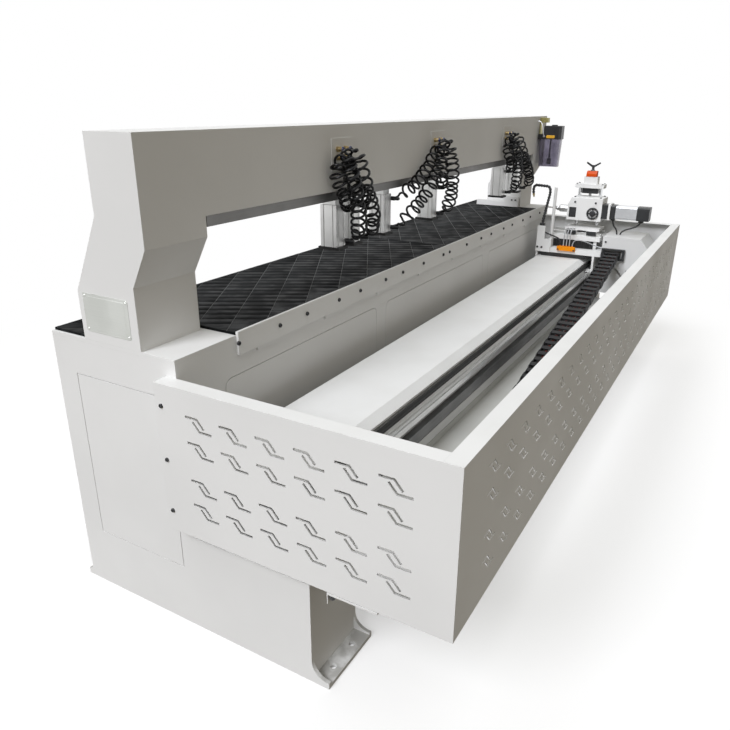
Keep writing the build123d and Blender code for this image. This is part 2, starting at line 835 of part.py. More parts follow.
# Cable chain: links with open tops between two cross bars, from the anchor up to the inlet
chain_start = Vector(chain_fixed_x, chain_y[0], tray_z + 2)
chain_end = Vector(box_x[0] - 1, chain_y[0], 664)
chain_run = chain_end - chain_start
chain_width = chain_y[1] - chain_y[0]
chain_axes = Plane(origin=chain_start, x_dir=chain_run, z_dir=(0, -1, 0))
link_count = int(chain_run.length / chain_pitch)
link_pitch = chain_run.length / link_count
link_notch = 7.0
with BuildPart() as cable_chain:
    chain_wall = 6.0
    strip_top = []
    for i in range(link_count):
        notch_start = i * link_pitch
        strip_top += [
            (notch_start, chain_height - link_notch),
            (notch_start + link_notch, chain_height),
            (notch_start + link_pitch - link_notch, chain_height),
        ]
    strip_top.append((chain_run.length, chain_height - link_notch))
    for side in (0, chain_width - chain_wall):
        prism(
            chain_axes.offset(-side),
            [(0, 0)] + strip_top + [(chain_run.length, 0)],
            -chain_wall,
        )
    with BuildSketch(chain_axes.offset(-chain_wall)) as bars:
        with Locations(*[((i + 0.5) * link_pitch, 0) for i in range(link_count)]):
            with Locations((0, 3), (0, chain_height - 3)):
                Rectangle(link_pitch * 0.45, 6)
    extrude(bars.sketch, amount=-(chain_width - 2 * chain_wall))
cable_chain.part.label = "cable_chain"
export_step(cable_chain.part, "parts/cable_chain.step")

with BuildPart() as manifold:
    block((carriage_x[0] - 18, carriage_x[0]), (-153, -44), (674, 700))
    with BuildSketch(Plane.XY.offset(700)):
        with Locations((carriage_x[0] - 9, -98.5)):
            with GridLocations(0, 18, 1, 5):
                RegularPolygon(radius=5.5, side_count=6)
    extrude(amount=6)
manifold.part.label = "manifold"
export_step(manifold.part, "parts/manifold.step")

# Feed base on two risers, with two rails across the machine
feed_x = (head_x[0] - 36, head_x[1] + 36)
feed_y = (-280.0, 36.0)
feed_rail_x = (head_x[0] + 14, head_x[1] - 14)
with BuildPart() as feed_base:
    block(feed_x, feed_y, (735, 760))
    for riser_x in (feed_x[0] + 12, feed_x[1] - 30):
        block((riser_x, riser_x + 18), (feed_y[0] + 20, feed_y[1] - 20), (saddle_z[1], 735))
feed_base.part.label = "feed_base"
export_step(feed_base.part, "parts/feed_base.step")

with BuildPart() as feed_rails:
    for x in feed_rail_x:
        block((x - 10, x + 10), (feed_y[0] + 4, feed_y[1] - 4), (760, 778))
feed_rails.part.label = "feed_rails"
export_step(feed_rails.part, "parts/feed_rails.step")

# Blow pipe: upright bracket and post on the saddle, jointed pipe with a tapered nozzle
with BuildPart() as blow_bracket:
    block((carriage_x[0] - 8, carriage_x[0]), (40, 88), (saddle_z[0], 812))
    block((carriage_x[0] - 8, carriage_x[0]), (2, 40), (saddle_z[0], 735))
    block((carriage_x[0] - 8, carriage_x[0] + 40), (-4, 20), (saddle_z[1], 735))
    with Locations((carriage_x[0] + 28, 8, 887.5)):
        Cylinder(radius=9, height=305)
blow_bracket.part.label = "blow_bracket"
export_step(blow_bracket.part, "parts/blow_bracket.step")

blow_route = [
    (carriage_x[0] + 11.5, 66, 800),
    (carriage_x[0] + 11.5, 66, 832),
    (carriage_x[0] + 11.5, 30, 1046),
    (carriage_x[0] + 11.5, 148, 1052),
    (carriage_x[0] + 11.5, 138, 1000),
]
with BuildPart() as blow_pipe:
    with BuildLine():
        FilletPolyline(*blow_route, radius=30)
    with BuildSketch(Plane(origin=blow_route[0], z_dir=(0, 0, 1))):
        RegularPolygon(radius=9, side_count=6)
    sweep()
    block((carriage_x[0], carriage_x[0] + 24), (54, 78), (800, 826))
blow_pipe.part.label = "blow_pipe"
export_step(blow_pipe.part, "parts/blow_pipe.step")

nozzle_length = 22.0
with BuildPart() as blow_nozzle:
    tip = Vector(*blow_route[-1])
    aim = tip - Vector(*blow_route[-2])
    for nozzle_radius, nozzle_reach in ((7.5, 0.4), (5.5, 0.75), (3.5, 1)):
        with BuildSketch(Plane(origin=tip, z_dir=aim)):
            RegularPolygon(radius=nozzle_radius, side_count=8)
        extrude(amount=nozzle_length * nozzle_reach)
blow_nozzle.part.label = "blow_nozzle"
export_step(blow_nozzle.part, "parts/blow_nozzle.step")

# Feed slide: plate with four runner blocks on the feed rails
with BuildPart() as feed_slide:
    block(head_x, head_y, (790, 806))
    for x in feed_rail_x:
        for y in (head_y[0] + 12, head_y[1] - 72):
            block((x - 22, x + 22), (y, y + 60), (764, 790))
            block((x - 10.5, x + 10.5), (y, y + 60), (764, 778.6), Mode.SUBTRACT)
feed_slide.part.label = "feed_slide"
export_step(feed_slide.part, "parts/feed_slide.step")

lift_posts = [(lift_x, lift_y - post_offset), (lift_x, lift_y + post_offset)]
top_z = (1036.0, 1058.0)
block_top = 1102.0
counter_width = 60.0
counter_top = 1134.0
with BuildPart() as guide_posts:
    with BuildSketch(Plane.XY.offset(806)):
        with Locations(*lift_posts):
            Circle(post_radius)
    extrude(amount=top_z[0] - 806)
guide_posts.part.label = "guide_posts"
export_step(guide_posts.part, "parts/guide_posts.step")

with BuildPart() as lift_top:
    block((lift_x - 45, lift_x + 30), (lift_y - 85, lift_y + 85), top_z)
    block((lift_x - 26, lift_x + 26), (lift_y - 40, lift_y + 40), (top_z[1], block_top))
    with Locations((lift_x, lift_y, block_top)):
        Hole(radius=screw_radius + running_fit)
lift_top.part.label = "lift_top"
export_step(lift_top.part, "parts/lift_top.step")

with BuildPart() as position_counter:
    prism(
        side_plane(lift_y + counter_width / 2),
        [
            (lift_x - 28, block_top),
            (lift_x + 20, block_top),
            (lift_x + 20, counter_top),
            (lift_x - 14, counter_top),
            (lift_x - 28, block_top + 16),
        ],
        counter_width,
    )
    chamfer(position_counter.edges().filter_by(Axis.Z).group_by(Axis.X)[-1], 5)
    with Locations((lift_x, lift_y, counter_top)):
        Hole(radius=screw_radius + running_fit)
position_counter.part.label = "position_counter"
export_step(position_counter.part, "parts/position_counter.step")

# Lift screw with its collar, and the wing handle on its end
wing_z = 1142.0
with BuildPart() as lift_screw:
    with BuildSketch(Plane.XZ.offset(-lift_y)):
        with BuildLine():
            Polyline(
                (lift_x, 870),
                (lift_x + screw_radius, 870),
                (lift_x + screw_radius, counter_top + 0.5),
                (lift_x + 13, counter_top + 0.5),
                (lift_x + 13, wing_z - 2),
                (lift_x + 7, wing_z),
                (lift_x, wing_z),
                close=True,
            )
        make_face()
    revolve(axis=Axis((lift_x, lift_y, 0), (0, 0, 1)))
lift_screw.part.label = "lift_screw"
export_step(lift_screw.part, "parts/lift_screw.step")

with BuildPart() as wing_handle:
    with BuildSketch(Plane.XY.offset(wing_z)):
        with Locations((lift_x, lift_y)):
            RegularPolygon(radius=8, side_count=8)
    extrude(amount=26)
    for side in (-1, 1):
        prism(
            Plane.YZ.offset(lift_x - 3.5),
            [
                (lift_y, wing_z + 8),
                (lift_y + side * 42, wing_z + 36),
                (lift_y + side * 38, wing_z + 44),
                (lift_y, wing_z + 22),
            ],
            7,
        )
wing_handle.part.label = "wing_handle"
export_step(wing_handle.part, "parts/wing_handle.step")

# Head housing on the guide posts, bored for the posts, the lift screw and the spindle
vent_y = (-112.0, -70.0)
vent_z = (866.0, 926.0)
fan_radius = 35.0
with BuildPart() as head_housing:
    prism(
        Plane.YZ.offset(head_x[0]),
        [
            (head_y[0], head_z[0]),
            (head_y[1], head_z[0]),
            (head_y[1], head_z[1] - head_shoulder[1]),
            (head_y[1] - head_shoulder[0], head_z[1]),
            (head_y[0], head_z[1]),
        ],
        head_x[1] - head_x[0],
    )
    chamfer(head_housing.faces().sort_by(Axis.Z)[-1].edges(), 3)
    with Locations((lift_x, lift_y, head_z[1])):
        Hole(radius=screw_radius + running_fit)
    with Locations(*[(x, y, head_z[1]) for x, y in lift_posts]):
        Hole(radius=post_radius + running_fit)
    with Locations(Plane(origin=(spindle_x, head_y[1], spindle_z), z_dir=(0, 1, 0))):
        Hole(radius=spindle_radius + running_fit, depth=140)
    block((head_x[0], head_x[0] + 4), vent_y, vent_z, Mode.SUBTRACT)
head_housing.part.label = "head_housing"
export_step(head_housing.part, "parts/head_housing.step")

# Black pieces of the head: vent with blades, fan cover, coupling housing
with BuildPart() as head_trim:
    block((head_x[0] + 2, head_x[0] + 4), vent_y, vent_z)
    for i in range(7):
        blade_z = vent_z[0] + 4 + i * 8
        block((head_x[0], head_x[0] + 2), vent_y, (blade_z, blade_z + 4))
    with BuildSketch(end_plane(head_x[0])):
        with Locations((211, 896)):
            Circle(fan_radius)
            Circle(fan_radius - 9, mode=Mode.SUBTRACT)
            Rectangle(2 * fan_radius - 14, 6)
            Rectangle(6, 2 * fan_radius - 14)
    extrude(amount=8)
    block((spindle_x - 34, spindle_x + 48), (-300, head_y[0]), (869, 951))
head_trim.part.label = "head_trim"
export_step(head_trim.part, "parts/head_trim.step")

# Servo motor: plain body between its front end with the flange and its rear cap
servo_mid = (spindle_x, spindle_z)
with BuildPart() as servo_motor:
    with BuildSketch(side_plane(-342)) as body_section:
        with Locations(servo_mid):
            Rectangle(servo_size - 4, servo_size - 4)
        chamfer(body_section.vertices(), 9)
    extrude(amount=120)
servo_motor.part.label = "servo_motor"
export_step(servo_motor.part, "parts/servo_motor.step")

with BuildPart() as servo_ends:
    with BuildSketch(side_plane(-300)):
        with Locations(servo_mid):
            RectangleRounded(servo_size + 10, servo_size + 14, 6)
    extrude(amount=12)
    with BuildSketch(side_plane(-312)):
        with Locations(servo_mid):
            RectangleRounded(servo_size, servo_size, 9)
    extrude(amount=30)
    with BuildSketch(side_plane(-462)) as cap_section:
        with Locations(servo_mid):
            Rectangle(servo_size - 2, servo_size - 2)
        chamfer(cap_section.vertices(), 7)
    extrude(amount=69)
    block((spindle_x - 14, spindle_x + 14), (-500, -472), (860, 874))
    block((spindle_x - 12, spindle_x + 12), (-339, -315), (860, 872))
servo_ends.part.label = "servo_ends"
export_step(servo_ends.part, "parts/servo_ends.step")

# Spindle with its collet nose, and the drill bit
with BuildPart() as spindle:
    with BuildSketch(Plane(origin=(spindle_x, 0, spindle_z), x_dir=(0, 1, 0), z_dir=(1, 0, 0))):
        with BuildLine():
            Polyline(
                (-196, 0),
                (-196, spindle_radius),
                (-8, spindle_radius),
                (-2, spindle_radius - 5),
                (-2, 13),
                (12, 13),
                (20, 9),
                (20, 0),
                close=True,
            )
        make_face()
    revolve(axis=Axis((spindle_x, 0, spindle_z), (0, 1, 0)))
    with BuildSketch(side_plane(-2)):
        with Locations((spindle_x, spindle_z)):
            RegularPolygon(radius=16, side_count=6)
    extrude(amount=-12)
spindle.part.label = "spindle"
export_step(spindle.part, "parts/spindle.step")

with BuildPart() as drill_bit:
    with BuildSketch(Plane(origin=(spindle_x, 0, spindle_z), x_dir=(0, 1, 0), z_dir=(1, 0, 0))):
        with BuildLine():
            Polyline((20, 0), (20, 4), (83, 4), (86, 1), (86, 0), close=True)
        make_face()
    revolve(axis=Axis((spindle_x, 0, spindle_z), (0, 1, 0)))
drill_bit.part.label = "drill_bit"
export_step(drill_bit.part, "parts/drill_bit.step")


# Coiled hoses: each tube leaves its fitting square, coils down and enters its port square
def coil_stations(start, axis_start, axis_bend, axis_end, end, phase):
    """Points and directions along one hose, a quarter of a curl apart on the coil."""
    out = Vector(0, -1, 0)
    stations = [(start, out), (start + out * hose_straight, out)]
    for quarter in range(4 * coil_turns + 1):
        t = quarter / (4 * coil_turns)
        axis_point = axis_start * (1 - t) ** 2 + axis_bend * (2 * t * (1 - t)) + axis_end * t**2
        axis_speed = (axis_bend - axis_start) * (2 - 2 * t) + (axis_end - axis_bend) * (2 * t)
        along = axis_speed.normalized()
        side = along.cross(Vector(1, 0, 0)).normalized()
        across = along.cross(side)
        angle = phase + quarter * pi / 2
        spoke = side * cos(angle) + across * sin(angle)
        turning = across * cos(angle) - side * sin(angle)
        advance = axis_speed * (1 / (2 * pi * coil_turns))
        stations.append((axis_point + spoke * coil_radius, (advance + turning * coil_radius).normalized()))
    back = Vector(0, 1, 0)
    return stations + [(end - back * hose_straight, back), (end, back)]


def biarc_joint(p0, t0, p1, t1):
    """Where two arcs meet that leave p0 along t0 and reach p1 along t1, and their direction there."""
    chord = p1 - p0
    both = t0 + t1
    turn = 2 * (1 - t0.dot(t1))
    reach = chord.dot(both)
    if turn > 1e-9:
        d = (sqrt(reach**2 + turn * chord.dot(chord)) - reach) / turn
    else:
        d = chord.dot(chord) / (2 * reach)
    joint = (p0 + p1 + (t0 - t1) * d) * 0.5
    return joint, ((p1 - t1 * d) - (p0 + t0 * d)).normalized()


def least_gap(path, tube):
    """Least free gap between stretches of a tube that are not neighbours."""
    count = 160
    points = [path.position_at(i / count) for i in range(count + 1)]
    apart = int(count * 3 * tube / path.length) + 1
    pairs = [(i, j) for i in range(count + 1) for j in range(i + apart, count + 1)]
    return min((points[i] - points[j]).length for i, j in pairs) - tube


tubes = []
for number, mid_x in enumerate(clamp_x, start=1):
    plate_x = hose_plate_x[(number - 1) // 2]
    column = (number - 1) % 2
    mouth_x = plate_x + fitting_offset_x[column]
    port_x = mid_x + port_reach
    for level, port in enumerate(port_z):
        start_x = plate_x + coil_start_x[level][column]
        lead = min(abs(port_x - start_x), coil_lead_x[level])
        end_x = port_x - lead if port_x > start_x else port_x + lead
        bend_x = start_x + coil_bend_share * (end_x - start_x)
        stations = coil_stations(
            Vector(mouth_x, fitting_mouth_y, fitting_z[1 - level]),
            Vector(start_x, coil_start_y[level], coil_start_z[level]),
            Vector(bend_x, coil_bend_y[level], coil_bend_z[level]),
            Vector(end_x, coil_end_y[level], coil_end_z[level]),
            Vector(port_x, port_mouth_y, port),
            coil_phase[level],
        )
        last = len(stations) - 2
        with BuildPart() as hose:
            with BuildLine() as hose_line:
                for i in range(len(stations) - 1):
                    (p0, t0), (p1, t1) = stations[i : i + 2]
                    if i in (0, last):
                        Line(p0, p1)
                    else:
                        joint, heading = biarc_joint(p0, t0, p1, t1)
                        TangentArc(p0, joint, tangent=t0)
                        TangentArc(joint, p1, tangent=heading)
            with BuildSketch(Plane(origin=stations[0][0], z_dir=(0, -1, 0))):
                RegularPolygon(radius=hose_tube * 0.6, side_count=3)
            sweep(path=hose_line.wire(), clean=False)
        tubes.append(hose.part)
        length = hose_line.wire().length
        gap = least_gap(hose_line.wire(), hose_tube)
        print(f"hose {number} level {level}: length {length:.0f}, least gap {gap:.1f}")
air_hoses = Compound(label="air_hoses", children=tubes)
export_step(air_hoses, "parts/air_hoses.step")


# Air lines from the distribution block to the feed slide, the box and the blow pipe, and two motor cables
def turn_radius(run, turn_half_tan):
    """Bend radius that leaves a straight stretch at both ends of the shorter run."""
    return 0.45 * run / turn_half_tan


with BuildPart() as head_cables:
    line_x = carriage_x[0] - 9
    for line_y in (-116.5, -98.5, -80.5):
        line_points = [(line_x, line_y, 706), (line_x, line_y, 798), (head_x[0], line_y, 798)]
        with BuildLine() as air_line:
            FilletPolyline(*line_points, radius=turn_radius(head_x[0] - line_x, 1.0))
        with BuildSketch(Plane(origin=line_points[0], z_dir=(0, 0, 1))) as line_section:
            RegularPolygon(radius=line_tube * 0.6, side_count=3)
        sweep(line_section.sketch, path=air_line.wire())
    supply_points = [
        (line_x, -134.5, 706),
        (line_x, -134.5, 742),
        (line_x + 8, -190, 746),
        (line_x + 36, -268, 712),
        (line_x + 36, -303.5, 706),
    ]
    with BuildLine() as supply_line:
        FilletPolyline(*supply_points, radius=turn_radius(36, 0.95))
    with BuildSketch(Plane(origin=supply_points[0], z_dir=(0, 0, 1))) as supply_section:
        RegularPolygon(radius=line_tube * 0.6, side_count=3)
    sweep(supply_section.sketch, path=supply_line.wire())
    hose_points = [
        (line_x, -62.5, 706),
        (line_x, -62.5, 742),
        (carriage_x[0] + 3.5, -6, 757),
        (carriage_x[0] + 11.5, 30, 766),
        (carriage_x[0] + 11.5, 66, 778),
        (carriage_x[0] + 11.5, 66, 799),
    ]
    with BuildLine() as blow_hose:
        FilletPolyline(*hose_points, radius=turn_radius(21, 0.73))
    with BuildSketch(Plane(origin=hose_points[0], z_dir=(0, 0, 1))) as hose_section:
        RegularPolygon(radius=hose_tube * 0.6, side_count=3)
    sweep(hose_section.sketch, path=blow_hose.wire())
    for cable_y, box_y in ((-327.0, -360.0), (-486.0, -380.0)):
        cable_points = [
            (spindle_x, cable_y, 860),
            (spindle_x, cable_y, 838),
            (spindle_x, box_y, 803),
            (spindle_x, box_y, 779),
        ]
        with BuildLine() as cable_line:
            FilletPolyline(*cable_points, radius=turn_radius(22, 0.74))
        with BuildSketch(Plane(origin=cable_points[0], z_dir=(0, 0, -1))) as cable_section:
            RegularPolygon(radius=cable_tube * 0.6, side_count=3)
        sweep(cable_section.sketch, path=cable_line.wire())
head_cables.part.label = "head_cables"
export_step(head_cables.part, "parts/head_cables.step")
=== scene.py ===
# %% [markdown]
# A side hole drilling machine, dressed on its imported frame.
# The frame holds every rigid piece at its real place and size, in metres. Here each piece gets
# its finish, the cords and the small hardware are modelled, and a camera and soft light are set up.
# Loading the frame first means that nothing has to be fitted by eye afterwards.

# %% Load the frame
from math import cos, pi, radians, sin

import bmesh
import bpy
from mathutils import Matrix, Vector


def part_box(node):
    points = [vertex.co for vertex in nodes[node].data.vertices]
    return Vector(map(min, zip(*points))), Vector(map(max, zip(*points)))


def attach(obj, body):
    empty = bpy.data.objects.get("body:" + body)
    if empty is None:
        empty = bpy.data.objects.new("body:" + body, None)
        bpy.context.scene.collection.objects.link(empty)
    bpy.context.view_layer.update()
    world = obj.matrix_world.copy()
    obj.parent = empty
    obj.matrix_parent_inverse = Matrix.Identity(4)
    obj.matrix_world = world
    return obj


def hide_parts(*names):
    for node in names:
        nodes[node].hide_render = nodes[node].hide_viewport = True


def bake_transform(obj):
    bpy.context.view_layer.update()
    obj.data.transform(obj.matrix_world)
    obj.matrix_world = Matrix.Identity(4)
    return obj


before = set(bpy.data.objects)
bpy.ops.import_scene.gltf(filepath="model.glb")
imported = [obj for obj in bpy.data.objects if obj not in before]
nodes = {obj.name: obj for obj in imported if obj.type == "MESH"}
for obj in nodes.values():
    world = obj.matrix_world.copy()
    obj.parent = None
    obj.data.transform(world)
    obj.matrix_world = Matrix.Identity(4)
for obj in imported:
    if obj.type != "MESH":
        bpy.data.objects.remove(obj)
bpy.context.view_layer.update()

# %% [markdown]
# The camera stands where the photographer stood: beside the near end, a little above the table.
# Its place and angles were worked out from straight edges of the machine, together with its sizes.
# The axes are built from the two angles, so the roll of the hand-held picture can be added to them.

# %% Camera
picture_size = 730
focal_pixels = 668.16
camera_place = Vector((-2.8395, -1.088, 1.5))
azimuth = radians(-59.757)
elevation = radians(21.246)
roll = radians(0.218)

back = Vector((sin(azimuth) * cos(elevation), -cos(azimuth) * cos(elevation), sin(elevation)))
right = Vector((cos(azimuth), sin(azimuth), 0))
up = back.cross(right)
tilted_right = right * cos(roll) + up * sin(roll)
tilted_up = up * cos(roll) - right * sin(roll)

lens = bpy.data.cameras.new("photo_lens")
lens.sensor_width = 36
lens.lens = lens.sensor_width * focal_pixels / picture_size
camera = bpy.data.objects.new("photo_camera", lens)
axes = Matrix((tilted_right, tilted_up, back)).transposed().to_4x4()
camera.matrix_world = Matrix.Translation(camera_place) @ axes
bpy.context.scene.collection.objects.link(camera)
bpy.context.scene.camera = camera
print("camera: lens", round(lens.lens, 2), "mm")

# %% [markdown]
# Shaders are built from nodes, and the same three steps come back all the time: add a node, set its
# options, join or set its inputs. One small helper does all three, so that the cells below can show
# the idea of a finish instead of its wiring. The others mix colours, stretch a value, do a sum, and
# look up where a point lies.

# %% Node helpers
def add_node(tree, kind, inputs=(), **settings):
    """Shader node with its settings; an input is joined where it is given a socket, else set."""
    made = tree.nodes.new("ShaderNode" + kind)
    for name, value in settings.items():
        setattr(made, name, value)
    for name, value in dict(inputs).items():
        if isinstance(value, bpy.types.NodeSocket):
            tree.links.new(value, made.inputs[name])
        else:
            made.inputs[name].default_value = value
    return made


def mix_colours(tree, factor, first, second):
    """First colour where the factor is 0, second where it is 1."""
    made = add_node(tree, "Mix", {0: factor, 6: first, 7: second}, data_type="RGBA")
    return made.outputs[2]


def spread_value(tree, value, low, high, out_low=0.0, out_high=1.0):
    """Value between two limits, eased and stretched to two others."""
    inputs = {"Value": value, 1: low, 2: high, 3: out_low, 4: out_high}
    return add_node(tree, "MapRange", inputs, interpolation_type="SMOOTHSTEP").outputs[0]


def calculate(tree, operation, first, second=0.0):
    """Result of one sum on two values."""
    return add_node(tree, "Math", {0: first, 1: second}, operation=operation).outputs[0]


def object_place(tree):
    """Where a point lies in its object, in metres."""
    return add_node(tree, "TexCoord").outputs["Object"]


print("node helpers ready")

# %% [markdown]
# The machine was photographed in even daylight that falls mostly on its near end and its top, while
# the long side facing the camera lies in shade. Two broad suns copy that: one from above the near
# end and one from straight above. A dim world fills the shade. The world is white for the camera, for
# glass and for reflections only, so the white background adds no light to the paint.

# %% Soft light
def add_sun(name, strength, colour, spread, towards):
    """Broad sun that shines along a direction."""
    lamp = bpy.data.lights.new(name, "SUN")
    lamp.energy = strength
    lamp.color = colour
    lamp.angle = radians(spread)
    holder = bpy.data.objects.new(name, lamp)
    holder.rotation_euler = Vector(towards).to_track_quat("-Z", "Y").to_euler()
    bpy.context.scene.collection.objects.link(holder)


def background_rays(tree):
    """1 for rays that should see the white background: from the camera, a mirror or glass."""
    ray = add_node(tree, "LightPath").outputs
    reflected = calculate(tree, "MAXIMUM", ray["Is Glossy Ray"], ray["Is Transmission Ray"])
    return calculate(tree, "MAXIMUM", ray["Is Camera Ray"], reflected)


add_sun("end_light", strength=2.70, colour=(0.94, 0.955, 1.0), spread=30, towards=(0.76, -0.14, -0.64))
add_sun("top_light", strength=0.84, colour=(0.90, 0.96, 1.0), spread=60, towards=(0.0, 0.0, -1.0))

white = (1.0, 1.0, 1.0, 1.0)
shade_fill = (0.33, 0.305, 0.26, 1.0)
world = bpy.data.worlds.new("daylight")
world.use_nodes = True
sky = world.node_tree
sky_colour = mix_colours(sky, background_rays(sky), shade_fill, white)
sky.links.new(sky_colour, sky.nodes["Background"].inputs["Color"])
bpy.context.scene.world = world
bpy.context.scene.view_settings.view_transform = "Standard"
print("light: two suns over a dim world")

# %% [markdown]
# The machine stands on a plain pale floor. Close to it the floor is a matt surface that takes its
# soft shadow. Further away it fades to pure white, so that no horizon line shows behind the machine.
# The floor is darker for bounced light than for the camera, or it would light the shaded side.

# %% Floor
fade_start = 1.8
fade_end = 3.4
least_fade = 0.45
floor_width = 60
bounce_colour = (0.14, 0.123, 0.095, 1)
floor_finish = bpy.data.materials.new("pale_floor")
floor_finish.use_nodes = True
tree = floor_finish.node_tree
seen = background_rays(tree)
place = object_place(tree)
distance = add_node(tree, "VectorMath", {0: place}, operation="LENGTH").outputs["Value"]
fade = calculate(tree, "MULTIPLY", spread_value(tree, distance, fade_start, fade_end, least_fade, 1.0), seen)
matt = tree.nodes["Principled BSDF"]
floor_colour = mix_colours(tree, seen, bounce_colour, white)
tree.links.new(floor_colour, matt.inputs["Base Color"])
matt.inputs["Roughness"].default_value = 0.9
matt.inputs["Specular IOR Level"].default_value = 0.0
glow = add_node(tree, "Emission", {"Color": white, "Strength": 1.0})
joined = add_node(tree, "MixShader", {0: fade, 1: matt.outputs[0], 2: glow.outputs[0]})
tree.links.new(joined.outputs[0], tree.nodes["Material Output"].inputs["Surface"])

bpy.ops.mesh.primitive_plane_add(size=floor_width)
floor = bpy.context.object
floor.name = "floor"
floor.data.materials.append(floor_finish)
print("floor: fades to white from", fade_start, "to", fade_end, "m")

# %% [markdown]
# Nearly every finish needs the same few effects: a fine grain, slow patches of tone, edges that are
# rounded and rubbed, lines left by a brush or a tool, and dust on what faces up. Each effect is a node
# group, made once and placed in a finish with values of its own. Three helpers serve them: one makes
# an empty group, one places a group in a finish, and one adds a noise.

# %% Group helpers
def new_group(name, inputs, outputs):
    """Empty node group with named sockets: its tree, its entry sockets and its exit sockets."""
    tree = bpy.data.node_groups.new(name, "ShaderNodeTree")
    for socket, kind, value in inputs:
        made = tree.interface.new_socket(socket, in_out="INPUT", socket_type="NodeSocket" + kind)
        made.default_value = value
    for socket, kind in outputs:
        tree.interface.new_socket(socket, in_out="OUTPUT", socket_type="NodeSocket" + kind)
    entry = tree.nodes.new("NodeGroupInput")
    leave = tree.nodes.new("NodeGroupOutput")
    return tree, entry.outputs, leave.inputs


def use_group(tree, name, **inputs):
    """One placed group with its own values; returns its outputs."""
    return add_node(tree, "Group", inputs, node_tree=bpy.data.node_groups[name]).outputs


def noise(tree, place, scale, detail):
    """Noise between 0 and 1 at a scale per metre."""
    return add_node(tree, "TexNoise", {"Vector": place, "Scale": scale, "Detail": detail}).outputs[0]


print("group helpers ready")

# %% [markdown]
# Object coordinates carry the patterns of the groups, so they keep their real size on a screw and on a
# beam. A group puts out only masks, values and normals, and the shader stays in the finish itself.

# %% Effect groups
tree, entry, leave = new_group(
    "surface_grain",
    [("GrainSize", "Float", 0.001), ("PatchSize", "Float", 0.3)],
    [("Grain", "Float"), ("Patches", "Float")],
)
place = object_place(tree)
grain = noise(tree, place, calculate(tree, "DIVIDE", 1.0, entry["GrainSize"]), 2.0)
patches = noise(tree, place, calculate(tree, "DIVIDE", 1.0, entry["PatchSize"]), 4.0)
tree.links.new(grain, leave["Grain"])
tree.links.new(spread_value(tree, patches, 0.32, 0.68), leave["Patches"])

tree, entry, leave = new_group(
    "rubbed_edges",
    [("Width", "Float", 0.002)],
    [("Mask", "Float"), ("Edge", "Float"), ("Normal", "Vector")],
)
rounded_normal = add_node(tree, "Bevel", {"Radius": entry["Width"]}, samples=4).outputs[0]
true_normal = add_node(tree, "NewGeometry").outputs["Normal"]
agreement = add_node(tree, "VectorMath", {0: rounded_normal, 1: true_normal}, operation="DOT_PRODUCT")
edge = spread_value(tree, agreement.outputs["Value"], 0.80, 0.985, 1.0, 0.0)
place = object_place(tree)
broken = spread_value(tree, noise(tree, place, 60.0, 4.0), 0.45, 0.62)
tree.links.new(calculate(tree, "MULTIPLY", edge, broken), leave["Mask"])
tree.links.new(edge, leave["Edge"])
tree.links.new(rounded_normal, leave["Normal"])

tree, entry, leave = new_group(
    "tool_lines", [("Stretch", "Vector", (4.0, 900.0, 900.0))], [("Lines", "Float")]
)
place = object_place(tree)
drawn = add_node(tree, "VectorMath", {0: place, 1: entry["Stretch"]}, operation="MULTIPLY").outputs[0]
tree.links.new(noise(tree, drawn, 1.0, 3.0), leave["Lines"])

tree, entry, leave = new_group("settled_dust", [("Amount", "Float", 0.3)], [("Mask", "Float")])
facing = add_node(tree, "NewGeometry").outputs["Normal"]
upward = spread_value(tree, add_node(tree, "SeparateXYZ", {0: facing}).outputs["Z"], 0.3, 1.0)
place = object_place(tree)
cloudy = spread_value(tree, noise(tree, place, 9.0, 5.0), 0.35, 0.75)
tree.links.new(
    calculate(tree, "MULTIPLY", calculate(tree, "MULTIPLY", upward, cloudy), entry["Amount"]), leave["Mask"]
)
print("groups:", [group.name for group in bpy.data.node_groups])

# %% [markdown]
# White powder coat covers the bed, the beam, the guard and the carriage. A real coat isn't one white:
# it has a slight orange peel, slow patches where it is thicker, dull spots, and edges where it is thin.
# The bevel normal rounds each fold in the light, so the sheet doesn't look cut from card. Two options
# add painted shade: the dust mask darkens the coat more the lower it lies, and the cut rims of vents go near
# black.

# %% Powder coat
finishes = {}
foot_heights = (0.05, 0.16)
# Colour of the painted shade on the cut rims of vents.
vent_shade_colour = (0.03, 0.03, 0.03, 1)


def new_finish(name):
    """Empty finish: its material, its node tree and its shader."""
    material = bpy.data.materials.new(name + "_finish")
    material.use_nodes = True
    return material, material.node_tree, material.node_tree.nodes["Principled BSDF"]


def shade(colour, factor):
    """Darker or lighter copy of a colour."""
    return tuple(min(1.0, factor * channel) for channel in colour[:3]) + (1,)


def dress_shader(tree, shader, base, rough, **bump):
    """Joins a colour, a roughness and a bump with the named inputs to the shader."""
    tree.links.new(base, shader.inputs["Base Color"])
    tree.links.new(rough, shader.inputs["Roughness"])
    tree.links.new(add_node(tree, "Bump", bump).outputs[0], shader.inputs["Normal"])


def vent_rims(tree, low, high, width=0.003, fade=0.01):
    """1 on the cut rims of the vents, which lie between two corners of a panel, away from its folds."""
    mask = use_group(tree, "rubbed_edges", Width=width)["Edge"]
    place = add_node(tree, "SeparateXYZ", {0: object_place(tree)}).outputs
    for axis, near, far in (("Y", low.y, high.y), ("Z", low.z, high.z)):
        mask = calculate(tree, "MULTIPLY", mask, spread_value(tree, place[axis], near, near + fade))
        mask = calculate(tree, "MULTIPLY", mask, spread_value(tree, place[axis], far - fade, far, 1.0, 0.0))
    return mask


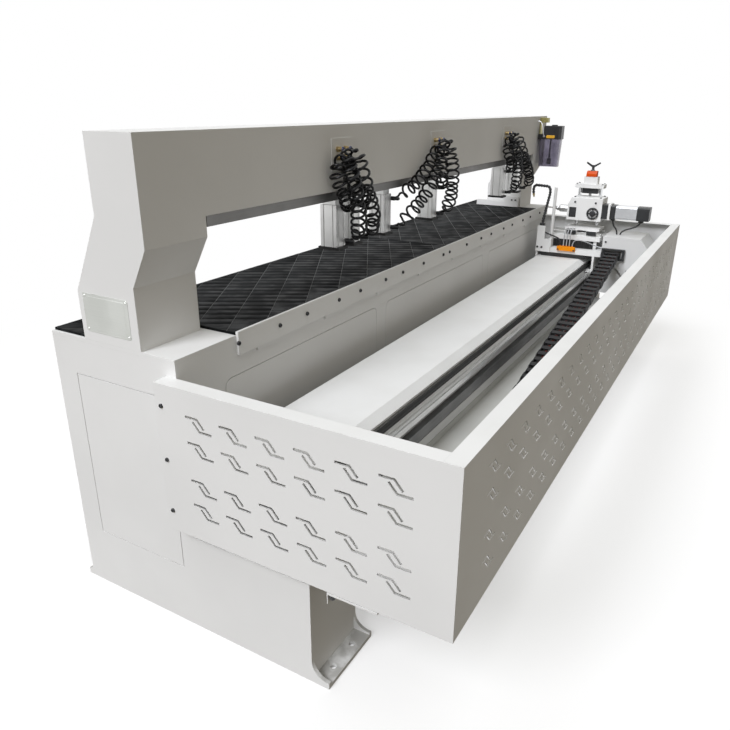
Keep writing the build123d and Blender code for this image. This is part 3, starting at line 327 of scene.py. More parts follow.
def powder_coat(
    name, colour, thick, thin, roughness, dust=0.25, foot_shade_amount=None, dust_and_shade_colour=(0.56, 0.54, 0.50, 1), vents=None
):
    """Sprayed and baked coat: two tones in patches, thin at the edges, with a fine orange peel."""
    material, tree, shader = new_finish(name)
    # Painted shade on the feet: near the floor the dust mask takes the foot amount, so the coat darkens
    # towards the floor.
    if foot_shade_amount:
        height = add_node(tree, "SeparateXYZ", {0: object_place(tree)}).outputs["Z"]
        dust = spread_value(tree, height, *foot_heights, foot_shade_amount, dust)
    coat = use_group(tree, "surface_grain", GrainSize=0.0016, PatchSize=0.45)
    edges = use_group(tree, "rubbed_edges", Width=0.0011)
    settled = use_group(tree, "settled_dust", Amount=dust)
    base = mix_colours(tree, coat["Patches"], colour, thick)
    base = mix_colours(tree, edges["Mask"], base, thin)
    # This mask lays real dust, and on the feet painted shade.
    base = mix_colours(tree, settled["Mask"], base, dust_and_shade_colour)
    # Painted shade: the cut rims of the vents take a near black colour.
    if vents:
        base = mix_colours(tree, vent_rims(tree, *vents), base, vent_shade_colour)
    rough = spread_value(tree, coat["Patches"], 0.0, 1.0, roughness - 0.05, roughness + 0.06)
    peel = {"Height": coat["Grain"], "Normal": edges["Normal"]}
    dress_shader(tree, shader, base, rough, Strength=0.05, Distance=0.0006, **peel)
    shader.inputs["Specular IOR Level"].default_value = 0.012
    return material


print("powder coat ready")

# %% [markdown]
# One recipe then gives every coated piece its colour. White covers most of the machine. The feet of the end
# frames carry painted shade that darkens them towards the floor, the cut rims of the near guard's vents carry
# painted shade, the tray is darker as painted shade for its trough, and the box has a greyer coat with more
# dust.

# %% Coat colours
white_coat = ((0.80, 0.803, 0.80, 1), (0.765, 0.768, 0.765, 1), (0.70, 0.70, 0.69, 1))
white_roughness = 0.42
white_dust = 0.08
# Colour of the painted shade on the feet of the end frames.
foot_shade_colour = (0.42, 0.415, 0.40, 1)
guard_low, guard_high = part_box("guard_near")
vent_margin = Vector((0, 0.03, 0.03))
vents = (guard_low + vent_margin, guard_high - vent_margin)

finishes["white_paint"] = powder_coat("white_paint", *white_coat, white_roughness, white_dust)
foot_shade_paint = powder_coat(
    "foot_shade_paint", *white_coat, white_roughness, white_dust, foot_shade_amount=2.0, dust_and_shade_colour=foot_shade_colour
)
guard_paint = powder_coat("guard_paint", *white_coat, white_roughness, white_dust, vents=vents)
finishes["orange"] = powder_coat(
    "orange", (0.88, 0.30, 0.012, 1), (0.80, 0.25, 0.010, 1), (0.90, 0.45, 0.10, 1), roughness=0.38
)
counter_finish = powder_coat(
    "counter", (0.70, 0.090, 0.012, 1), (0.62, 0.075, 0.010, 1), (0.80, 0.22, 0.06, 1), roughness=0.40
)
box_coat = ((0.69, 0.693, 0.69, 1), (0.65, 0.653, 0.65, 1), (0.62, 0.62, 0.61, 1))
# Painted shade: the tray's coat is darker than the white, standing in for the shade of the trough it lies in.
tray_shade_coat = ((0.62, 0.62, 0.595, 1), (0.54, 0.54, 0.52, 1), (0.66, 0.66, 0.64, 1))
box_paint = powder_coat("box_paint", *box_coat, roughness=0.42, dust=0.2)
tray_shade_finish = powder_coat("tray", *tray_shade_coat, roughness=0.50, dust=0.3)
print("powder coats:", sorted(finishes))

# %% [markdown]
# Black pieces are moulded plastic or rubber. Pure black hides every form, so each has a deep grey that
# is lighter on its rubbed edges and where dust settles. Gloss tells them apart: a hose of polyurethane
# shines, a rubber pad hardly does. The few coloured plastics follow the same recipe.

# %% Plastic and rubber
grey_dust = (0.20, 0.19, 0.17, 1)


def moulded(name, colour, rubbed, roughness, grain_size, dust, gloss=0.5):
    """Moulded plastic or rubber with a fine grain, rubbed edges and some dust."""
    material, tree, shader = new_finish(name)
    skin = use_group(tree, "surface_grain", GrainSize=grain_size, PatchSize=0.06)
    edges = use_group(tree, "rubbed_edges", Width=0.0012)
    settled = use_group(tree, "settled_dust", Amount=dust)
    base = mix_colours(tree, skin["Patches"], colour, shade(colour, 0.7))
    base = mix_colours(tree, edges["Mask"], base, rubbed)
    base = mix_colours(tree, settled["Mask"], base, grey_dust)
    rough = spread_value(tree, skin["Grain"], 0.3, 0.7, roughness - 0.06, roughness + 0.08)
    pores = {"Height": skin["Grain"], "Normal": edges["Normal"]}
    dress_shader(tree, shader, base, rough, Strength=0.15, Distance=0.0004, **pores)
    shader.inputs["Specular IOR Level"].default_value = gloss
    return material


# Colour, colour of rubbed edges, roughness, size of the grain, dust, and gloss where it isn't usual.
moulded_values = {
    "pump_black": ((0.018, 0.018, 0.02, 1), (0.06, 0.06, 0.065, 1), 0.32, 0.0012, 0.1),
    "trim_black": ((0.02, 0.021, 0.023, 1), (0.07, 0.07, 0.075, 1), 0.42, 0.0010, 0.15),
    "chain_black": ((0.012, 0.012, 0.013, 1), (0.04, 0.04, 0.04, 1), 0.5, 0.0015, 0.05, 0.3),
    "pad_black": ((0.022, 0.022, 0.022, 1), (0.05, 0.05, 0.05, 1), 0.68, 0.0008, 0.2),
    "hose_black": ((0.004, 0.004, 0.0045, 1), (0.01, 0.01, 0.01, 1), 0.30, 0.0009, 0.0, 0.25),
    "cable_grey": ((0.52, 0.53, 0.55, 1), (0.60, 0.60, 0.60, 1), 0.36, 0.0012, 0.1),
}
for name, values in moulded_values.items():
    finishes[name] = moulded(name, *values)
cable_black = moulded("cable_black", (0.014, 0.014, 0.015, 1), (0.04, 0.04, 0.04, 1), 0.44, 0.0009, 0.1)
cable_red = moulded("cable_red", (0.13, 0.018, 0.014, 1), (0.20, 0.05, 0.04, 1), 0.48, 0.0009, 0.1)
ring_blue = moulded("ring_blue", (0.012, 0.018, 0.10, 1), (0.04, 0.05, 0.15, 1), 0.36, 0.0009, 0.0)
amber = moulded("amber", (0.78, 0.42, 0.03, 1), (0.80, 0.50, 0.10, 1), 0.30, 0.0012, 0.0)
print("finishes so far:", len(finishes))

# %% [markdown]
# The bare metals differ in how they were worked. A drawn or ground bar has fine lines along its length,
# a cast or plated piece has soft patches. The lines are noise stretched along one axis, and they change
# both the roughness and the bump, which is how worked metal catches the light.

# %% Worked metal
along_x = (5.0, 700.0, 700.0)
along_y = (700.0, 5.0, 700.0)
along_z = (700.0, 700.0, 5.0)
all_round = (350.0, 350.0, 350.0)
dark_dust = (0.16, 0.15, 0.13, 1)


def worked_metal(name, colour, dull, roughness, stretch, dust=0.1, scratches=0.12):
    """Bare metal with tool lines along one axis, dull patches and bright edges."""
    material, tree, shader = new_finish(name)
    patches = use_group(tree, "surface_grain", GrainSize=0.002, PatchSize=0.10)["Patches"]
    lines = use_group(tree, "tool_lines", Stretch=stretch)["Lines"]
    edges = use_group(tree, "rubbed_edges", Width=0.0010)
    settled = use_group(tree, "settled_dust", Amount=dust)
    base = mix_colours(tree, patches, colour, dull)
    base = mix_colours(tree, edges["Mask"], base, shade(colour, 1.15))
    base = mix_colours(tree, settled["Mask"], base, dark_dust)
    rough = spread_value(tree, lines, 0.25, 0.75, roughness - 0.08, roughness + 0.10)
    scratch = {"Height": lines, "Normal": edges["Normal"]}
    dress_shader(tree, shader, base, rough, Strength=scratches, Distance=0.0003, **scratch)
    shader.inputs["Metallic"].default_value = 1.0
    return material


# Colour, dull colour, roughness, run of the lines, and dust and scratches where they aren't usual.
metal_values = {
    "rail_grey": ((0.20, 0.197, 0.19, 1), (0.17, 0.167, 0.16, 1), 0.46, along_x),
    "clamp_alu": ((0.80, 0.80, 0.79, 1), (0.70, 0.70, 0.69, 1), 0.40, along_z),
    "servo_alu": ((0.76, 0.77, 0.79, 1), (0.66, 0.67, 0.69, 1), 0.36, along_y),
    "rail_steel": ((0.72, 0.72, 0.71, 1), (0.66, 0.66, 0.65, 1), 0.34, along_x, 0.0, 0.01),
    "rack_steel": ((0.19, 0.19, 0.19, 1), (0.15, 0.15, 0.15, 1), 0.46, along_x),
    "post_chrome": ((0.84, 0.85, 0.86, 1), (0.76, 0.77, 0.78, 1), 0.14, along_z),
    "spindle_steel": ((0.60, 0.60, 0.60, 1), (0.50, 0.50, 0.50, 1), 0.28, along_y),
    "drill_steel": ((0.50, 0.48, 0.44, 1), (0.38, 0.36, 0.33, 1), 0.30, along_y),
    "screw_steel": ((0.32, 0.32, 0.32, 1), (0.22, 0.22, 0.22, 1), 0.34, along_z),
    "brass": ((0.46, 0.36, 0.19, 1), (0.34, 0.26, 0.13, 1), 0.34, all_round),
    "zinc_yellow": ((0.42, 0.37, 0.15, 1), (0.30, 0.27, 0.11, 1), 0.38, all_round),
}
for name, values in metal_values.items():
    finishes[name] = worked_metal(name, *values)
plate_metal = worked_metal("plate_metal", (0.60, 0.61, 0.58, 1), (0.54, 0.55, 0.52, 1), 0.42, along_y)
print("finishes for the record's slots:", len(finishes))

# %% [markdown]
# The lubricator's cup is moulded from smoky polycarbonate. Light passes through it, so it is a glass
# with a grey violet colour. Faint upright flow lines and a dull film in patches keep it from looking
# like a lens. Metallic and transmission are plain numbers, set on the shader itself.

# %% Smoky cup
material, tree, shader = new_finish("reservoir_smoke")
film = use_group(tree, "surface_grain", GrainSize=0.003, PatchSize=0.05)
upright = (160.0, 160.0, 6.0)
flow = use_group(tree, "tool_lines", Stretch=upright)["Lines"]
tint = mix_colours(tree, film["Patches"], (0.47, 0.45, 0.53, 1), (0.33, 0.315, 0.37, 1))
rough = spread_value(tree, film["Patches"], 0.0, 1.0, 0.05, 0.14)
dress_shader(tree, shader, tint, rough, Strength=0.25, Distance=0.0008, Height=flow)
shader.inputs["Transmission Weight"].default_value = 0.92
shader.inputs["IOR"].default_value = 1.45
finishes["reservoir_smoke"] = material
print("smoky cup: transmission", round(shader.inputs["Transmission Weight"].default_value, 2))

# %% [markdown]
# The table mat is black rubber with fine ribs, scuffed by the boards that slide over it. The ribs run
# across the seams and are too fine to model, so they are a stretched noise in the bump. The seams
# between the rows of ribs have worn to a pale grey.

# %% Ribbed rubber
seam_angle = radians(29.74)
seam_along = Vector((cos(seam_angle), sin(seam_angle), 0))
seam_across = Vector((-sin(seam_angle), cos(seam_angle), 0))
rib_stretch = (70.0, 9.0, 1.0)
rib_foot = (0.005, 0.0055, 0.006, 1)
rib_crown = (0.012, 0.0132, 0.014, 1)
board_dust = (0.06, 0.06, 0.059, 1)

material, tree, shader = new_finish("table_black")
skin = use_group(tree, "surface_grain", GrainSize=0.002, PatchSize=0.08)
settled = use_group(tree, "settled_dust", Amount=0.12)
place = object_place(tree)
turned = add_node(tree, "Mapping", {"Vector": place, "Rotation": (0, 0, -seam_angle)}).outputs[0]
drawn = add_node(tree, "VectorMath", {0: turned, 1: rib_stretch}, operation="MULTIPLY").outputs[0]
ribs = noise(tree, drawn, 1.0, 3.0)
base = mix_colours(tree, spread_value(tree, ribs, 0.40, 0.62), rib_foot, rib_crown)
base = mix_colours(tree, settled["Mask"], base, board_dust)
rough = spread_value(tree, skin["Patches"], 0.0, 1.0, 0.52, 0.72)
dress_shader(tree, shader, base, rough, Strength=0.5, Distance=0.002, Height=ribs)
shader.inputs["Specular IOR Level"].default_value = 0.05
finishes["table_black"] = material
seam_grey = moulded("seam_grey", (0.17, 0.175, 0.175, 1), (0.22, 0.22, 0.22, 1), 0.6, 0.001, 0.1, 0.2)
print("ribbed rubber: seams at", round(seam_angle * 180 / pi, 1), "degrees")

# %% [markdown]
# Each piece of the frame arrives with a plain colour whose name says what it is made of. Looking up the
# finish by that name dresses the whole machine in one loop. A few pieces have finishes of their own: the
# counter is a redder orange, the chain's tray is darker as painted shade, the box on the carriage is greyer
# and dustier, the end frames have painted shade on their feet, and the near guard on the rims of its vents.

# %% Finishes on the frame
own_finishes = {
    "position_counter": counter_finish,
    "chain_tray": tray_shade_finish,
    "carriage_box": box_paint,
    "near_end_frame": foot_shade_paint,
    "far_end_frame": foot_shade_paint,
    "guard_near": guard_paint,
}
for name, piece in nodes.items():
    surface = piece.material_slots[0]
    surface.material = own_finishes.get(name) or finishes[surface.material.name]
print("frame finished:", len(nodes), "nodes,", len(own_finishes), "of them with a finish of their own")

# %% [markdown]
# The scene's own pieces are built from three kinds of form: a tube along a line, a turned shape along
# an axis, and a flat outline with a thickness. All three are rings of points joined by a skin, so one
# skin helper serves them.

# %% Shape helpers
def skin_rings(made, rings):
    """Joins rings of points into a closed shape."""
    for low, high in zip(rings, rings[1:]):
        for k in range(len(low)):
            made.faces.new((low[k - 1], low[k], high[k], high[k - 1]))
    made.faces.new(rings[0])
    made.faces.new(rings[-1])


def add_ring(made, middle, side, across, radius, sides):
    """Ring of points round a middle, in the plane of two directions."""
    angles = [2 * pi * k / sides for k in range(sides)]
    return [made.verts.new(middle + (side * cos(a) + across * sin(a)) * radius) for a in angles]


def add_tube(made, points, radii, sides):
    """Rings round the points, turned along the line without twist."""
    side = None
    rings = []
    for i, point in enumerate(points):
        along = (points[min(i + 1, len(points) - 1)] - points[max(i - 1, 0)]).normalized()
        side = along.orthogonal() if side is None else side - along * side.dot(along)
        side.normalize()
        radius = radii[i] if isinstance(radii, list) else radii
        rings.append(add_ring(made, point, side, along.cross(side), radius, sides))
    skin_rings(made, rings)


def add_turned(made, base, direction, profile, sides=16):
    """Turned shape: the profile's pairs are a radius and how far it lies along the direction."""
    along = Vector(direction).normalized()
    side = along.orthogonal().normalized()
    across = along.cross(side)
    rings = []
    for radius, reach in profile:
        rings.append(add_ring(made, Vector(base) + along * reach, side, across, radius, sides))
    skin_rings(made, rings)


def add_plate(made, outline, origin, right, up, depth):
    """Outline in the plane of two directions, pulled square to it by a depth."""
    right, up = Vector(right), Vector(up)
    out = right.cross(up) * depth
    flat = [Vector(origin) + right * a + up * b for a, b in outline]
    skin_rings(made, [[made.verts.new(p) for p in flat], [made.verts.new(p + out) for p in flat]])


def rounded(width, height, radius, steps=3):
    """Outline of a rectangle with round corners, about its middle."""
    outline = []
    for quarter, (a, b) in enumerate(((1, 1), (-1, 1), (-1, -1), (1, -1))):
        for step in range(steps + 1):
            angle = (quarter + step / steps) * pi / 2
            corner_x = a * (width / 2 - radius)
            corner_y = b * (height / 2 - radius)
            outline.append((corner_x + radius * cos(angle), corner_y + radius * sin(angle)))
    return outline


print("shape helpers ready")

# %% [markdown]
# A piece is one mesh, with its sharp edges slightly chamfered, its finish, and the body that it moves
# with. Small hardware repeats one shape at several places, so two helpers make such a set as one piece.
# Directions get names here: the near end lies towards -x, and the front, with the drill, towards -y.

# %% Piece helpers
to_near = (-1, 0, 0)
to_far = (1, 0, 0)
to_front = (0, -1, 0)
to_top = (0, 0, 1)
to_floor = (0, 0, -1)
near_face = (to_front, to_top)
front_face = (to_far, to_top)
top_face = (to_far, (0, 1, 0))
corner_signs = [(a, b) for a in (-1, 1) for b in (-1, 1)]
chamfer_angle = radians(35)
fine_edge = 0.0008


def make_piece(name, made, slot, body=None, finish=None, edge=0.0, sharp_angle=35):
    """Object from a bmesh: chamfered, shaded, finished, and riding on a body if one is named."""
    bmesh.ops.recalc_face_normals(made, faces=made.faces)
    if edge:
        corners = [e for e in made.edges if len(e.link_faces) == 2 and e.calc_face_angle() > chamfer_angle]
        bmesh.ops.bevel(made, geom=corners, offset=edge, segments=1, affect="EDGES", clamp_overlap=True)
    mesh = bpy.data.meshes.new(name)
    made.to_mesh(mesh)
    made.free()
    mesh.shade_smooth()
    mesh.set_sharp_from_angle(angle=radians(sharp_angle))
    mesh.materials.append(finish or finishes[slot])
    piece = bpy.data.objects.new(name, mesh)
    bpy.context.scene.collection.objects.link(piece)
    if body:
        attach(piece, body)
    return piece


def plate_set(name, outline, places, face, depth, slot, body, finish=None, edge=0.0):
    """One piece of equal plates: the outline on a face at each place, pulled out by a depth."""
    made = bmesh.new()
    for place in places:
        add_plate(made, outline, place, *face, depth)
    return make_piece(name, made, slot, body, finish, edge)


def turned_set(name, profile, places, direction, slot, body, finish=None, sides=16):
    """One piece of equal turned shapes, one at each place."""
    made = bmesh.new()
    for place in places:
        add_turned(made, place, direction, profile, sides)
    return make_piece(name, made, slot, body, finish)


print("piece helpers ready")

# %% [markdown]
# Hoses, air lines and cables all start as a route: a few points that the real hose goes past.
# A NURBS spline with these points as its control points gives a line without corners.
# Reading that line back as points lets a tube, a coil or a row of beads follow it.

# %% Smooth lines
def smooth_line(route, resolution=12):
    """Points along the NURBS line that has the route as its control points."""
    line = bpy.data.curves.new("route", "CURVE")
    line.dimensions = "3D"
    line.resolution_u = resolution
    spline = line.splines.new("NURBS")
    spline.points.add(len(route) - 1)
    for point, place in zip(spline.points, route):
        point.co = (*place, 1)
    spline.order_u = 3
    spline.use_endpoint_u = True
    holder = bpy.data.objects.new("route", line)
    mesh = bpy.data.meshes.new_from_object(holder)
    points = [vertex.co.copy() for vertex in mesh.vertices]
    bpy.data.meshes.remove(mesh)
    bpy.data.objects.remove(holder)
    bpy.data.curves.remove(line)
    return points


def line_length(points):
    """Length of a line through points."""
    return sum((b - a).length for a, b in zip(points, points[1:]))


def walk_line(points, count):
    """Evenly spaced points on a line, each with the line's direction there."""
    total = line_length(points)
    index, walked = 0, 0.0
    for i in range(count + 1):
        reach = total * i / count
        step = points[index + 1] - points[index]
        while reach > walked + step.length and index < len(points) - 2:
            walked += step.length
            index += 1
            step = points[index + 1] - points[index]
        yield reach, points[index] + step.normalized() * (reach - walked), step.normalized()


print("line helpers ready")

# %% [markdown]
# A cord is a tube along such a line, and it stands for the simpler cords that the frame has in its place,
# which it hides.

# %% Cord helper
cord_sides = 10


def add_cord(name, path, diameter, slot, replaced, digits=3, finish=None):
    """Cord along a path, in place of a node of the frame, which it hides."""
    made = bmesh.new()
    add_tube(made, path, diameter / 2, cord_sides)
    cord = make_piece(name, made, slot, finish=finish)
    round(line_length(path), digits)
    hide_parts(replaced)
    return cord


print("cord helper ready")

# %% [markdown]
# Twelve coiled polyurethane hoses feed the clamps, two to each clamp.
# A loop turns points round the middle line of a coil to make its curls. The curls open from nothing at
# the ends, so each hose leaves its fitting straight. Their size and spacing wander, as those of old
# coils do.

# %% Coil shape
hose_diameter = 0.009
coil_radius = 0.026
curl_samples = 22
curls = (11, 15)
opening_reach = (0.006, 0.055)
closing_reach = (0.080, 0.024)


def ease(value, low, high):
    """Smooth step from 0 at low to 1 at high."""
    t = min(max((value - low) / (high - low), 0), 1)
    return t * t * (3 - 2 * t)


def coil_round(line, turns, phase):
    """Helix round a line: its curls open from the fitting on, lie unevenly, and close at the port."""
    total = line_length(line)
    helix = []
    side = (line[1] - line[0]).orthogonal()
    for reach, middle, along in walk_line(line, curl_samples * turns):
        side = (side - along * side.dot(along)).normalized()
        across = along.cross(side)
        share = reach / total
        uneven = share + 0.012 * sin(6 * pi * share + phase)
        angle = phase + 2 * pi * turns * uneven
        loose = 1 + 0.09 * sin(5.3 * share * pi + phase) + 0.06 * sin(11.7 * share * pi + 2 * phase)
        closed = ease(reach, total - closing_reach[0], total - closing_reach[1])
        opening = ease(reach, *opening_reach) * (1 - closed)
        helix.append(middle + (side * cos(angle) + across * sin(angle)) * coil_radius * opening * loose)
    return helix


print("coils:", curls[0], "curls in an upper hose,", curls[1], "in a lower one")

# %% [markdown]
# The route of a hose is the middle line of its coil, from the brass fitting on the beam to the clamp's
# port. Both hoses of a clamp follow the same plan with values of their own.

# %% Air hoses
plate_x = (-0.8285, -0.0285, 0.9085)
fitting_x = (0.036, 0.084)
fitting_y = 0.198
fitting_z = (1.330, 1.358)
coil_start_x = ((-0.032, 0.038), (-0.010, 0.058))
coil_start_y = (0.182, 0.150)
coil_start_z = (1.310, 1.322)
coil_bend_share = 0.4
coil_bend_y = (0.184, 0.142)
coil_bend_z = (1.242, 1.190)
coil_end_y = (0.187, 0.178)
coil_end_z = (1.188, 1.066)
coil_lead_x = (0.090, 0.015)
port_z = (1.140, 1.022)
port_y = 0.250
port_reach = 0.0375
clamp_half = 0.0305
hose_lead = 0.020
out = Vector((0, -hose_lead, 0))
phase_step = 1.7

ports = {}
for number in range(1, 7):
    port_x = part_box(f"clamp_{number}_body")[0].x + clamp_half + port_reach
    plate = plate_x[(number - 1) // 2]
    column = (number - 1) % 2
    ports[number] = [Vector((port_x, port_y, z)) for z in port_z]
    for level, port in enumerate(ports[number]):
        fitting = Vector((plate + fitting_x[column], fitting_y, fitting_z[level]))
        start_x = plate + coil_start_x[level][column]
        lead = min(abs(port_x - start_x), coil_lead_x[level])
        end_x = port_x - lead if port_x > start_x else port_x + lead
        bend_x = start_x + coil_bend_share * (end_x - start_x)
        top = Vector((start_x, coil_start_y[level], coil_start_z[level]))
        bend = Vector((bend_x, coil_bend_y[level], coil_bend_z[level]))
        low = Vector((end_x, coil_end_y[level], coil_end_z[level]))
        line = smooth_line([fitting, fitting + out, top, bend, low, port + out, port])
        helix = coil_round(line, curls[level], number * phase_step + level)
        name = f"air_hose_{number}_{level + 1}"
        hose = add_cord(name, helix, hose_diameter, "hose_black", "air_hoses", digits=2)
        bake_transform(hose)

# %% [markdown]
# Each hose ends in a black sleeve that is pushed over the clamp's port, and starts in a fitting with a
# small blue release ring. Both are turned parts, drawn as a profile of radius against length.
# The sleeves ride on their clamps, and the rings stay on the beam.

# %% Sleeves and release rings
sleeve = [(0.0088, 0.0), (0.0088, 0.014), (0.0074, 0.018), (0.0074, 0.030), (0.0056, 0.036), (0.0042, 0.037)]
for number, places in ports.items():
    turned_set(f"hose_sleeves_{number}", sleeve, places, to_front, "trim_black", f"clamp_{number}")

ring = [(0.0078, 0.0), (0.0086, 0.001), (0.0086, 0.004), (0.0072, 0.006), (0.0042, 0.006)]
fittings = [(plate + x, fitting_y, z) for plate in plate_x for x in fitting_x for z in fitting_z]
turned_set("release_rings", ring, fittings, to_front, "trim_black", "base", ring_blue)
print("hose ends:", 2 * len(ports), "sleeves and", len(fittings), "rings")

# %% [markdown]
# Three thin air lines rise from the orange block to the feed slide, a fourth goes to the white box, and
# a black hose runs to the blow pipe.

# %% Air lines
manifold_low, manifold_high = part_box("manifold")
line_diameter = 0.006
line_x = (manifold_low.x + manifold_high.x) / 2
air_line_y = (-0.1165, -0.0985, -0.0805)
air_line_course = ((line_x, 0.706), (line_x, 0.760), (1.300, 0.800), (1.345, 0.801), (1.381, 0.798))
supply_course = (
    (line_x, -0.1345, 0.706),
    (line_x, -0.1345, 0.742),
    (line_x + 0.008, -0.190, 0.746),
    (line_x + 0.036, -0.268, 0.712),
    (line_x + 0.036, -0.3035, 0.706),
)
blow_x = 1.310
blow_hose_course = (
    (line_x, -0.0625, 0.706),
    (line_x, -0.0625, 0.742),
    (1.302, -0.006, 0.757),
    (blow_x, 0.030, 0.766),
    (blow_x, 0.066, 0.778),
    (blow_x, 0.066, 0.799),
)


def head_cord(name, route, diameter, finish=None):
    """Smooth cord along a route, in place of the frame's head cables."""
    return add_cord(name, smooth_line(route), diameter, "cable_grey", "head_cables", finish=finish)


for i, y in enumerate(air_line_y):
    route = [Vector((x, y, z)) for x, z in air_line_course]
    cord = head_cord(f"air_line_{i + 1}", route, line_diameter)
    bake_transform(cord)

cord = head_cord("supply_line", [Vector(place) for place in supply_course], line_diameter)
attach(cord, "carriage")
cord = head_cord("blow_hose", [Vector(place) for place in blow_hose_course], hose_diameter, cable_black)
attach(cord, "carriage")
print("air lines:", len(air_line_y), "to the slide, one to the box, one to the blow pipe")

# %% [markdown]
# Two black cables run from the servo motor down to the white box. The head also rises and sinks a little,
# and glands under the motor cover the cables' ends while it does.

# %% Servo cables
cable_diameter = 0.009
servo_x = 1.415
servo_bottom = 0.870
servo_cable_y = (-0.327, -0.486)
box_inlet_y = (-0.360, -0.380)
for name, y, box_y in zip(("motor_cable", "encoder_cable"), servo_cable_y, box_inlet_y):
    course = ((y, servo_bottom), (y, 0.838), (box_y, 0.803), (box_y, 0.779))
    route = [Vector((servo_x, *place)) for place in course]
    cord = head_cord(name, route, cable_diameter, cable_black)
    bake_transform(cord)

gland = [(0.0086, -0.0015), (0.0086, 0.006), (0.0068, 0.008), (0.0068, 0.014), (0.0047, 0.015)]
cable_ends = [(servo_x, y, servo_bottom) for y in servo_cable_y]
turned_set("cable_glands", gland, cable_ends, to_floor, "trim_black", "head")

# %% [markdown]
# The table is covered by two rubber mats that butt against each other. Straight seams cross them at about
# thirty degrees, and grooves run across the rows between the seams.
# The mat's outline is taken from the frame, cut along both sets of lines, and each tile that comes out
# is inset and raised. Cutting the true outline keeps the pattern running off its edges, as on a real mat.

# %% Table mat
mat_joint_x = 0.060
seam_pitch = 0.101
seam_start = (0.076, 0.017)
rib_pitch = 0.0475
groove_depth = 0.0016
groove_half = 0.0014
mat_low, mat_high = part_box("table_mat")


def mat_half(side):
    """Top of the mat on one side of the joint, as one flat face."""
    made = bmesh.new()
    made.from_mesh(nodes["table_mat"].data)
    bmesh.ops.remove_doubles(made, verts=made.verts, dist=1e-5)
    under = [f for f in made.faces if f.calc_center_median().z < mat_high.z - 1e-4]
    bmesh.ops.delete(made, geom=under, context="FACES")
    bmesh.ops.dissolve_limit(made, angle_limit=0.01, verts=made.verts, edges=made.edges)
    geometry = made.verts[:] + made.edges[:] + made.faces[:]
    cut = {"plane_co": (mat_joint_x, 0, 0), "plane_no": (1, 0, 0)}
    bmesh.ops.bisect_plane(made, geom=geometry, clear_outer=side == 0, clear_inner=side == 1, **cut)
    return made


def cut_lines(made, across, pitch, start):
    """Cuts a flat mesh along parallel lines that lie a pitch apart."""
    reaches = [vertex.co.dot(across) for vertex in made.verts]
    first = int((min(reaches) - start) // pitch)
    last = int((max(reaches) - start) // pitch) + 1
    for k in range(first, last + 1):
        geometry = made.verts[:] + made.edges[:] + made.faces[:]
        bmesh.ops.bisect_plane(made, geom=geometry, plane_co=across * (start + k * pitch), plane_no=across)


for side in (0, 1):
    made = mat_half(side)
    cut_lines(made, seam_across, seam_pitch, seam_start[side])
    cut_lines(made, seam_along, rib_pitch, 0.0)
    rim = [edge for edge in made.edges if len(edge.link_faces) == 1]
    wall = bmesh.ops.extrude_edge_only(made, edges=rim)["geom"]
    foot = [item for item in wall if isinstance(item, bmesh.types.BMVert)]
    bmesh.ops.translate(made, verts=foot, vec=(0, 0, mat_low.z - mat_high.z))
    bmesh.ops.recalc_face_normals(made, faces=made.faces)
    tiles = [f for f in made.faces if abs(f.normal.z) > 0.9]
    for face in tiles:
        if face.normal.z < 0:
            face.normal_flip()
    upper = {vertex for face in tiles for vertex in face.verts}
    bmesh.ops.translate(made, verts=list(upper), vec=(0, 0, -groove_depth))
    inset = bmesh.ops.inset_individual(made, faces=tiles, thickness=groove_half, depth=groove_depth)
    for face in inset["faces"]:
        offset = (face.calc_center_median().dot(seam_across) - seam_start[side]) / seam_pitch
        face.material_index = int(abs(offset - round(offset)) * seam_pitch < groove_half)
    mat = make_piece(f"table_mat_{side + 1}", made, "table_black", "base", sharp_angle=20)
    mat.data.materials.append(seam_grey)
    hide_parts("table_mat")
    print("mat", side + 1, "tiles", len(tiles))

# %% [markdown]
# The cable chain is a ladder of black links: overlapping side plates with round ends, pins where they
# hinge, and cross bars that hold the cables in. One link is drawn and repeated along the chain.

# %% Cable chain
chain_low, chain_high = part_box("cable_chain")
chain_start = Vector((-0.316, chain_low.y, 0.362))
chain_end = Vector((1.312, chain_low.y, 0.664))
chain_height = 0.035
chain_width = chain_high.y - chain_low.y
link_count = 31
plate_thickness = 0.0034
plate_overlap = 1.22
bar_share = 0.50
bar_height = 0.006
bar_inset = 0.004
tuck_depth = 0.003
pin = [(0.0075, 0), (0.0075, 0.0012), (0.006, 0.002)]
run = chain_end - chain_start
link_pitch = run.length / link_count
chain_along = run.normalized()
chain_up = Vector((-chain_along.z, 0, chain_along.x))
across_y = Vector((0, 1, 0))

made = bmesh.new()
for i in range(link_count):
    middle = chain_start + chain_along * ((i + 0.5) * link_pitch) + chain_up * (chain_height / 2)
    tuck = tuck_depth * (i % 2)
    to_ends = (2 * ((i + 0.5) * link_pitch), 2 * ((link_count - i - 0.5) * link_pitch))
    plate = rounded(min(link_pitch * plate_overlap, *to_ends), chain_height, 0.011)
    for y in (tuck, chain_width - tuck - plate_thickness):
        place = middle + across_y * (y + plate_thickness)
        add_plate(made, plate, place, chain_along, chain_up, plate_thickness)
    bar = rounded(link_pitch * bar_share, bar_height, 0.002)
    for rise in (chain_height / 2 - bar_height / 2, bar_height / 2 - chain_height / 2):
        place = middle + chain_up * rise + across_y * (chain_width - bar_inset)
        add_plate(made, bar, place, chain_along, chain_up, chain_width - 2 * bar_inset)
    for y, facing in ((tuck, -1), (chain_width - tuck, 1)):
        hinge = middle + chain_along * (link_pitch / 2) + across_y * (y - facing * 0.001)
        if i < link_count - 1:
            add_turned(made, hinge, across_y * facing, pin, 12)
chain = make_piece("chain_links", made, "chain_black", edge=0.0005)
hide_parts("cable_chain")
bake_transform(chain)
print("chain:", link_count, "links of", round(link_pitch * 1000, 1), "mm")
